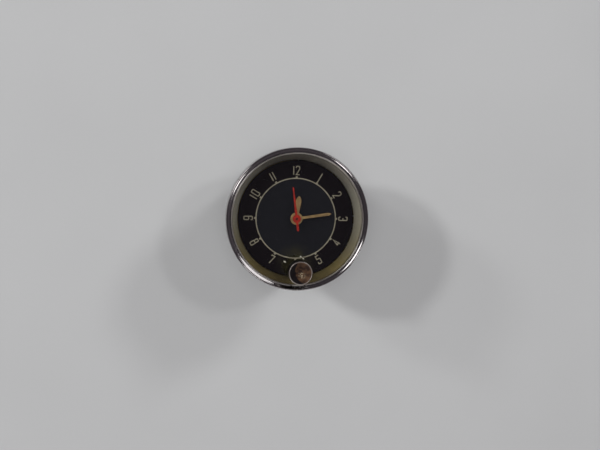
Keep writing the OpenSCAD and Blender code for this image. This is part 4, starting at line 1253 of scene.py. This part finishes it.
@dataclass
class HandRivet:
    """The rivet that holds the second hand on its arbor."""

    radius: float = 0.58
    low: float = 3.7
    high: float = 4.05
    dome: tuple[float, ...] = (0.0, 0.5, 0.9, 1.25)

    def build(self) -> None:
        """Turns the domed head."""
        rise = self.high - self.low
        dome = [(self.radius * math.cos(t), self.low + rise * math.sin(t)) for t in self.dome]
        profile = [(0.0, self.low), *dome, (0.0, self.high)]
        show("second_rivet", lathe(profile, steps=48), RIVET_RED, Body.SECOND, "red_paint")


@dataclass
class SettingKnob:
    """The turned knob that is pushed in to set the hands."""

    centre: Point = (0.0, -21.0)
    radius: float = 4.8
    low: float = 12.8
    high: float = 19.8
    rim: float = 0.37
    edge_r: float = 0.3
    foot: Point = (0.35, 0.6)
    dish: float = 1.1
    bowl_steps: int = 10
    # Radius and depth below the dish of each step of the dimple.
    dimple: tuple[Point, ...] = ((0.78, 0.03), (0.39, 0.12), (0.0, 0.15))
    bore_r: float = 1.4
    bore_top: float = 15.8

    def build(self) -> None:
        """Turns the knob with its dish and dimple."""
        bowl_r = self.radius - self.rim
        floor = self.high - self.dish
        wall = [
            (self.bore_r, self.low, 0.0), (self.radius - self.foot[0], self.low, self.edge_r),
            (self.radius, self.low + self.foot[1], self.edge_r), (self.radius, self.high, self.edge_r),
            (bowl_r, self.high, 0.0),
        ]
        profile = [(0.0, self.bore_top), (self.bore_r, self.bore_top), *rounded(wall, closed=False)]
        for n in range(1, self.bowl_steps - 1):
            share = n / self.bowl_steps
            profile.append((bowl_r * (1 - share), self.high - self.dish * math.sin(share * math.pi / 2)))
        profile += [(radius, floor - deep) for radius, deep in self.dimple]
        mesh = lathe(profile, self.centre, 160)
        show("knob_head", mesh, KNOB_PLATE, Body.KNOB, "worn_plated_brass", "setting_knob")


@dataclass
class Springs:
    """The two springs that move: the knob's return spring and the balance's hairspring."""

    stem_at: Point = (0.0, -21.0)
    coil_r: float = 1.95
    wire_r: float = 0.2
    coils: float = 4.0
    floor: float = -9.2
    ceiling: float = -4.4
    travel: float = 2.0
    slack: float = 0.02
    balance_at: Point = (12.813, -13.469)
    collet: Point = (0.65, 0.98)
    collet_edge_r: float = 0.06
    spiral: Point = (1.1, 4.6)
    turns: int = 5
    turn_steps: int = 36
    strip: Corner = (0.15, -15.9, -15.4)
    end_deg: float = 270.0

    def stem_spring(self) -> None:
        """Winds the return spring at its free length; in the clock it shortens as the knob goes in."""
        stand = self.wire_r + self.slack
        free = self.ceiling - self.floor
        sizes = {
            "Turns": self.coils,
            "Radius": self.coil_r * MM,
            "Length": (free - 2 * stand) * MM,
            "Wire": self.wire_r * MM,
            "Sides": 12,
            "Foot": metres(*self.stem_at, self.floor + stand),
            "Finish": STEEL.material(),
        }
        mesh = grow(wound_tree("return_spring"), sizes)
        piece = show("return_spring", mesh, STEEL, Body.CLOCK, "steel", "stem_spring")
        metres(*self.stem_at, self.floor)
        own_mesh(piece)

    def hairspring(self) -> None:
        """Winds the flat hairspring on the plate and sets its collet on the staff."""
        width, low, high = self.strip
        inner, outer = self.spiral
        steps = self.turn_steps * self.turns
        path = []
        for n in range(steps + 1):
            radius = inner + (outer - inner) * n / steps
            turn = math.radians(self.end_deg + 360 / self.turn_steps * (n - steps))
            path.append((radius * math.cos(turn), radius * math.sin(turn)))
        mesh = plate(ribbon(path, False, width), low, high)
        mesh.transform(Matrix.Translation(metres(*self.balance_at, 0)))
        show("hairspring_spiral", mesh, BLUED, Body.CLOCK, "blued_steel", "hairspring")
        (bore, rim), soft = self.collet, self.collet_edge_r
        ring = [(bore, low, 0.0), (rim, low, soft), (rim, high, soft), (bore, high, 0.0)]
        collet = lathe(rounded(ring, closed=True), self.balance_at, 48)
        show("hairspring_collet", collet, BRASS, Body.BALANCE, "brass")

    def build(self) -> None:
        """Winds both springs."""
        self.stem_spring()
        self.hairspring()


@dataclass
class Can:
    """The drawn case behind the dashboard, with the openings in its back."""

    radius: float = 26.0
    wall: float = 0.7
    back: float = -30.0
    back_wall: float = 0.8
    round_out: float = 2.0
    round_in: float = 1.3
    bend_r: float = 0.2
    flange: Corner = (29.0, 0.8, 4.2)
    # The round openings for studs, lamp and terminal: centre and radius.
    openings: tuple[Corner, ...] = (
        (-15.0, 0.0, 2.6), (15.0, 0.0, 2.6), (0.0, -14.0, 5.05), (0.0, 14.0, 4.15),
    )
    slot_at: Point = (12.8, -13.5)
    slot_r: float = 7.0
    slot_half: float = 1.1
    slot_swing: float = 25.0

    def slot_outline(self) -> list[Point]:
        """Draws the curved slot in which the regulator's tail swings.

        Returns:
            The points of its outline.
        """
        first, last, half = 90 - self.slot_swing, 90 + self.slot_swing, self.slot_half
        start, end = (arc(*self.slot_at, self.slot_r, a, a, 1)[0] for a in (first, last))
        loop = arc(*self.slot_at, self.slot_r + half, first, last, 16)
        loop += arc(*end, half, last, last + 180, 10)[1:]
        loop += arc(*self.slot_at, self.slot_r - half, last, first, 16)[1:]
        return loop + arc(*start, half, first + 180, first + 360, 10)[1:-1]

    def build(self) -> None:
        """Draws the shell and pierces its back."""
        rim, low, high = self.flange
        flat, inner, bend = self.radius - self.round_out, self.radius - self.wall, self.bend_r
        floor = self.back + self.back_wall
        side = [
            (self.radius, self.back + self.round_out, 0.0), (self.radius, 0.0, bend),
            (self.radius + self.wall, low, bend), (rim, low, bend), (rim, high, 0.0),
            (rim - self.wall, high, 0.0), (rim - self.wall, low + self.wall, bend),
            (inner + self.wall, low + self.wall, bend), (inner, 0.0, bend),
            (inner, floor + self.round_in, 0.0),
        ]
        shell = [(flat, self.back)]
        shell += arc(flat, self.back + self.round_out, self.round_out, -90, 0, 12)[1:]
        shell += rounded(side, closed=False)[1:]
        shell += arc(inner - self.round_in, floor + self.round_in, self.round_in, 0, -90, 8)[1:]
        holes = [circle(*opening) for opening in self.openings]
        back = plate([circle(0, 0, flat, 256), *holes, self.slot_outline()], self.back, floor)
        mesh = join([lathe(shell, steps=256), back])
        show("drawn_can", mesh, CAN_STEEL, Body.CLOCK, "plated_steel_can", "case")


@dataclass
class BackFittings:
    """What stands on the back: studs, nuts, washers, lamp holder and terminal."""

    stud_x: float = 15.0
    stand: float = -45.0
    stud_r: float = 2.0
    tip: Point = (0.3, 0.4)
    neck: Point = (0.05, 0.5)
    shank_r: float = 2.5
    shank_z: float = -35.8
    shank_edge: Point = (0.25, 0.3)
    stud_top: float = -16.4
    pitch: float = 0.7
    thread: float = 0.24
    # How far the thread starts from the stud's tip, and stops short of its shoulder and tip together.
    thread_ends: Point = (0.7, 1.6)
    # How far the ridge's middle stands off the core, and how much thinner it is than the thread.
    ridge: Point = (0.02, 0.03)
    nut_w: float = 8.0
    nut: Point = (-34.8, -30.8)
    nut_sides: int = 96
    nut_dip: float = 0.45
    nut_dip_least: float = 0.15
    nut_face: float = 0.97
    washer_r: float = 4.5
    washer: Point = (-30.8, -30.0)
    washer_gap: float = 0.1
    washer_edges: Corner = (0.1, 0.2, 0.1)
    lamp_at: Point = (0.0, -14.0)
    # The cup's section: radius, height and rounding of each corner.
    cup: tuple[Corner, ...] = (
        (4.65, -27.0, 0.1), (5.05, -27.0, 0.1), (5.05, -30.0, 0.0), (6.65, -30.0, 0.2), (6.65, -31.0, 0.3),
        (5.05, -31.0, 0.4), (5.05, -41.0, 0.9), (1.6, -41.0, 0.2), (1.6, -40.4, 0.1), (4.65, -40.4, 0.5),
    )
    blade_y: float = 14.0
    blade: Corner = (3.15, -45.0, -26.3)
    blade_thick: float = 0.8
    blade_edge: float = 0.08
    blade_tip: Corner = (1.0, 1.6, 0.3)
    blade_hole: Corner = (0.0, -41.0, 0.8)

    def both(self, mesh: Mesh) -> Mesh:
        """Puts a mesh that is made at the centre onto both studs.

        Args:
            mesh: The mesh, which is used up.

        Returns:
            The pair.
        """
        twin = mesh.copy()
        for side, half in ((-1, mesh), (1, twin)):
            half.transform(Matrix.Translation(metres(side * self.stud_x, 0, 0)))
        return join([mesh, twin])

    def studs(self) -> None:
        """Turns the two shouldered studs and winds their threads."""
        core = self.stud_r - self.thread
        start, short = self.thread_ends
        length = self.shank_z - self.stand - short
        sizes = {
            "Turns": length / self.pitch,
            "Radius": (core + self.ridge[0]) * MM,
            "Length": length * MM,
            "Wire": (self.thread - self.ridge[1]) * MM,
            "Sides": 4,
            "Foot": metres(0, 0, self.stand + start),
            "Finish": ZINC.material(),
        }
        wound = grow(wound_tree("stud_thread"), sizes)
        section = [
            (0.0, self.stand), (core - self.tip[0], self.stand), (core, self.stand + self.tip[1]),
            (core, self.shank_z - self.neck[1]), (core + self.neck[0], self.shank_z),
            (self.shank_r - self.shank_edge[0], self.shank_z),
            (self.shank_r, self.shank_z + self.shank_edge[1]), (self.shank_r, self.stud_top),
            (0.0, self.stud_top),
        ]
        mesh = self.both(join([lathe(section, steps=64), wound]))
        show("stud_pair", mesh, ZINC, Body.CLOCK, "zinc_steel", "mounting_studs")

    def nuts(self) -> None:
        """Makes the hexagon nuts, turned down at both faces, and their washers."""
        flat, count = self.nut_w / 2, self.nut_sides
        corner = flat / math.cos(math.pi / 6)
        low, high = self.nut
        shape = bmesh.new()
        rows = []
        # The corners dip at both faces, while the flats reach them.
        for z, dip in ((low, 0.0), (low, self.nut_dip), (high, -self.nut_dip), (high, 0.0)):
            row = []
            for n in range(count):
                degrees = 360 / count * n
                reach = flat / math.cos(math.radians((degrees + 30) % 60 - 30))
                drop = dip * (self.nut_dip_least + (reach - flat) / (corner - flat))
                radius = reach if dip else min(reach, flat * self.nut_face)
                x, y = arc(0, 0, radius, degrees, degrees, 1)[0]
                row.append(shape.verts.new(metres(x, y, z + drop)))
            rows.append(row)
        for z in (high, low):
            bore = circle(0, 0, self.shank_r, count)
            rows.append([shape.verts.new(metres(x, y, z)) for x, y in bore])
        for first, second in zip(rows, rows[1:] + rows[:1]):
            for n in range(count):
                m = (n + 1) % count
                shape.faces.new((first[n], first[m], second[m], second[n]))
        show("hexagon_nuts", self.both(outward(shape)), ZINC, Body.CLOCK, "zinc_steel", "stud_nuts")
        (bottom, top), inner, rim = self.washer, self.shank_r + self.washer_gap, self.washer_r
        soft, softer, top_soft = self.washer_edges
        ring = [(inner, bottom, soft), (rim, bottom, softer), (rim, top, top_soft), (inner, top, 0.0)]
        washers = self.both(lathe(rounded(ring, closed=True), steps=64))
        show("plain_washers", washers, ZINC, Body.CLOCK, "zinc_steel", "stud_washers")

    def lamp(self) -> None:
        """Draws the lamp holder's cup."""
        mesh = lathe(rounded(self.cup, closed=True), self.lamp_at, 96)
        show("lamp_holder_cup", mesh, ZINC, Body.CLOCK, "zinc_steel", "bulb_holder")

    def terminal(self) -> None:
        """Cuts the flat connector blade."""
        half, end, root = self.blade
        narrow, rise, soft = self.blade_tip
        right = [(half - narrow, end, soft), (half, end + rise, soft), (half, root, 0.0)]
        outline = rounded([(-x, y, r) for x, y, r in right[::-1]] + right, closed=True)
        thick = self.blade_thick / 2
        mesh = plate([outline, circle(*self.blade_hole, 32)], -thick, thick, self.blade_edge)
        mesh.transform(Matrix.Rotation(math.pi / 2, 4, "X"))
        mesh.transform(Matrix.Translation(metres(0, self.blade_y, 0)))
        show("connector_tab", mesh, BRASS, Body.CLOCK, "brass", "terminal_blade")

    def build(self) -> None:
        """Fits everything to the back."""
        self.studs()
        self.nuts()
        self.lamp()
        self.terminal()


@dataclass(frozen=True)
class Lamp:
    """A round lamp that faces the clock, placed by its hour angle and its rise above the bench."""

    name: str
    clock_deg: float
    rise_deg: float
    far: float
    size: float
    power: float
    reach: Reach = Reach.MATT

    def hang(self) -> None:
        """Hangs the lamp.

        The pane already passes the lamps' light as shadow rays, so refracted rays skip them.
        """
        lamp = bpy.data.lights.new(self.name, "AREA")
        lamp.shape = "DISK"
        lamp.size = self.size * MM
        lamp.energy = self.power
        turn, rise = math.radians(self.clock_deg), math.radians(self.rise_deg)
        way = Vector((math.sin(turn) * math.cos(rise), math.cos(turn) * math.cos(rise), math.sin(rise)))
        holder = bpy.data.objects.new(self.name, lamp)
        holder.location = way * self.far * MM
        holder.rotation_euler = way.to_track_quat("Z", "Y").to_euler()
        holder.visible_transmission = False
        holder.visible_glossy = self.reach is not Reach.MATT
        holder.visible_diffuse = self.reach is not Reach.MIRRORS
        bpy.context.scene.collection.objects.link(holder)


# Two lamps at each side draw the shadows, and the ceiling fills them from where the camera stands.
# The chrome mirrors only the weak panes and glints, as in a dark room.
LAMPS = (
    Lamp("window_left", 293.0, 43.0, 1800.0, 170.0, 9.9),
    Lamp("door_left", 299.0, 29.0, 1800.0, 230.0, 5.2),
    Lamp("window_right", 58.0, 58.0, 1800.0, 170.0, 4.2),
    Lamp("door_right", 46.0, 38.0, 1800.0, 340.0, 8.2),
    Lamp("ceiling_bounce", 300.0, 81.0, 1500.0, 700.0, 8.2),
    Lamp("pane_left", 304.0, 49.0, 800.0, 340.0, 0.95, Reach.MIRRORS),
    Lamp("pane_right", 52.0, 51.0, 800.0, 320.0, 0.45, Reach.MIRRORS),
    Lamp("glint_left", 210.0, 42.0, 800.0, 220.0, 0.45, Reach.MIRRORS),
    Lamp("glint_right", 120.0, 32.0, 800.0, 200.0, 0.4, Reach.MIRRORS),
    Lamp("doorway_glow", 180.0, 12.0, 1000.0, 900.0, 1.3, Reach.ALL),
)


@dataclass
class Stage:
    """The bench, the lamps and the camera."""

    floor_z: float = -45.0
    floor_half: float = 1500.0
    # The room's tones, from the bench up to the ceiling.
    room: tuple[tuple[float, str], ...] = (
        (0.02, CARD.base), (0.1, "#6a646a"), (0.5, "#686268"), (0.85, "#454145"),
    )
    pivot: Corner = (0.0, 0.0, 7.5)
    aim: Corner = (0.97, -2.32, 7.5)
    lean_deg: Point = (-7.5, 4.2)
    distance: float = 347.8
    roll_deg: float = 1.1
    lens: float = 50.0
    sensor: float = 36.0

    def floor(self) -> None:
        """Lays the card on which the clock stands."""
        half = self.floor_half
        corners = [(-half, -half), (half, -half), (half, half), (-half, half)]
        mesh = bpy.data.meshes.new("bench_card")
        mesh.from_pydata([metres(x, y, self.floor_z) for x, y in corners], [], [(0, 1, 2, 3)])
        mesh.materials.append(CARD.material())
        card = bpy.data.objects.new("bench_card", mesh)
        bpy.context.scene.collection.objects.link(card)

    def light(self) -> None:
        """Hangs the soft lamps and sets the room's dim fill."""
        for lamp in LAMPS:
            lamp.hang()
        world = bpy.data.worlds.new("dim_room")
        world.use_nodes = True
        tree = world.node_tree
        tree.nodes.clear()
        way = add(tree, "ShaderNodeTexCoord").outputs["Generated"]
        rise = add(tree, "ShaderNodeSeparateXYZ", (way,)).outputs["Z"]
        run = add(tree, "ShaderNodeValToRGB", (rise,))
        stops = run.color_ramp.elements
        for stop, (at, tone) in zip(stops, (self.room[0], self.room[-1])):
            stop.position, stop.color = at, linear(tone)
        for at, tone in self.room[1:-1]:
            stops.new(at).color = linear(tone)
        dim = add(tree, "ShaderNodeBackground", {"Color": run.outputs["Color"], "Strength": 1.0})
        add(tree, "ShaderNodeOutputWorld", {"Surface": dim.outputs[0]})
        bpy.context.scene.world = world

    def camera(self) -> None:
        """Stands the camera almost straight above the dial, as in the photograph."""
        lens = bpy.data.cameras.new("bench_camera")
        lens.sensor_width = self.sensor
        lens.lens = self.lens
        lens.clip_start = 0.01
        eye = bpy.data.objects.new("bench_camera", lens)
        x, y = (math.tan(math.radians(a)) for a in self.lean_deg)
        place = Vector(self.pivot) + Vector((x, y, 1.0)).normalized() * self.distance
        back = (place - Vector(self.aim)).normalized()
        right = Vector((0.0, 1.0, 0.0)).cross(back).normalized()
        level = Matrix((right, back.cross(right), back)).transposed().to_4x4()
        roll = Matrix.Rotation(math.radians(self.roll_deg), 4, "Z")
        eye.matrix_world = Matrix.Translation(place * MM) @ level @ roll
        bpy.context.scene.collection.objects.link(eye)
        bpy.context.scene.camera = eye

    def build(self) -> None:
        """Sets the stage."""
        bpy.context.scene.view_settings.view_transform = "Standard"
        self.floor()
        self.light()
        self.camera()


def dress(frame: dict) -> None:
    """Gives every CAD node the finish of its material slot.
    """
    for entry in frame["record"]["subparts"]:
        finish = SLOT_FINISH[entry["material_slot"]]
        node = frame["nodes"][entry["node"]]
        node.data.materials.clear()
        node.data.materials.append(finish.material())
        LOG.info("%s is dressed in %s", entry["node"], finish.name)


def main() -> None:
    """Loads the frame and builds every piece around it."""
    logging.basicConfig(level=logging.INFO, format="%(name)s %(message)s")
    for old in list(bpy.data.objects):
        bpy.data.objects.remove(old)
    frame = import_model()
    dress(frame)
    front = (Stage(), Bezel(), Reflector(), DialPrint(), Flakes(), *HANDS, HandRivet(), SettingKnob())
    for maker in (*front, Springs(), Can(), BackFittings()):
        maker.build()


if __name__ == "__main__":
    main()
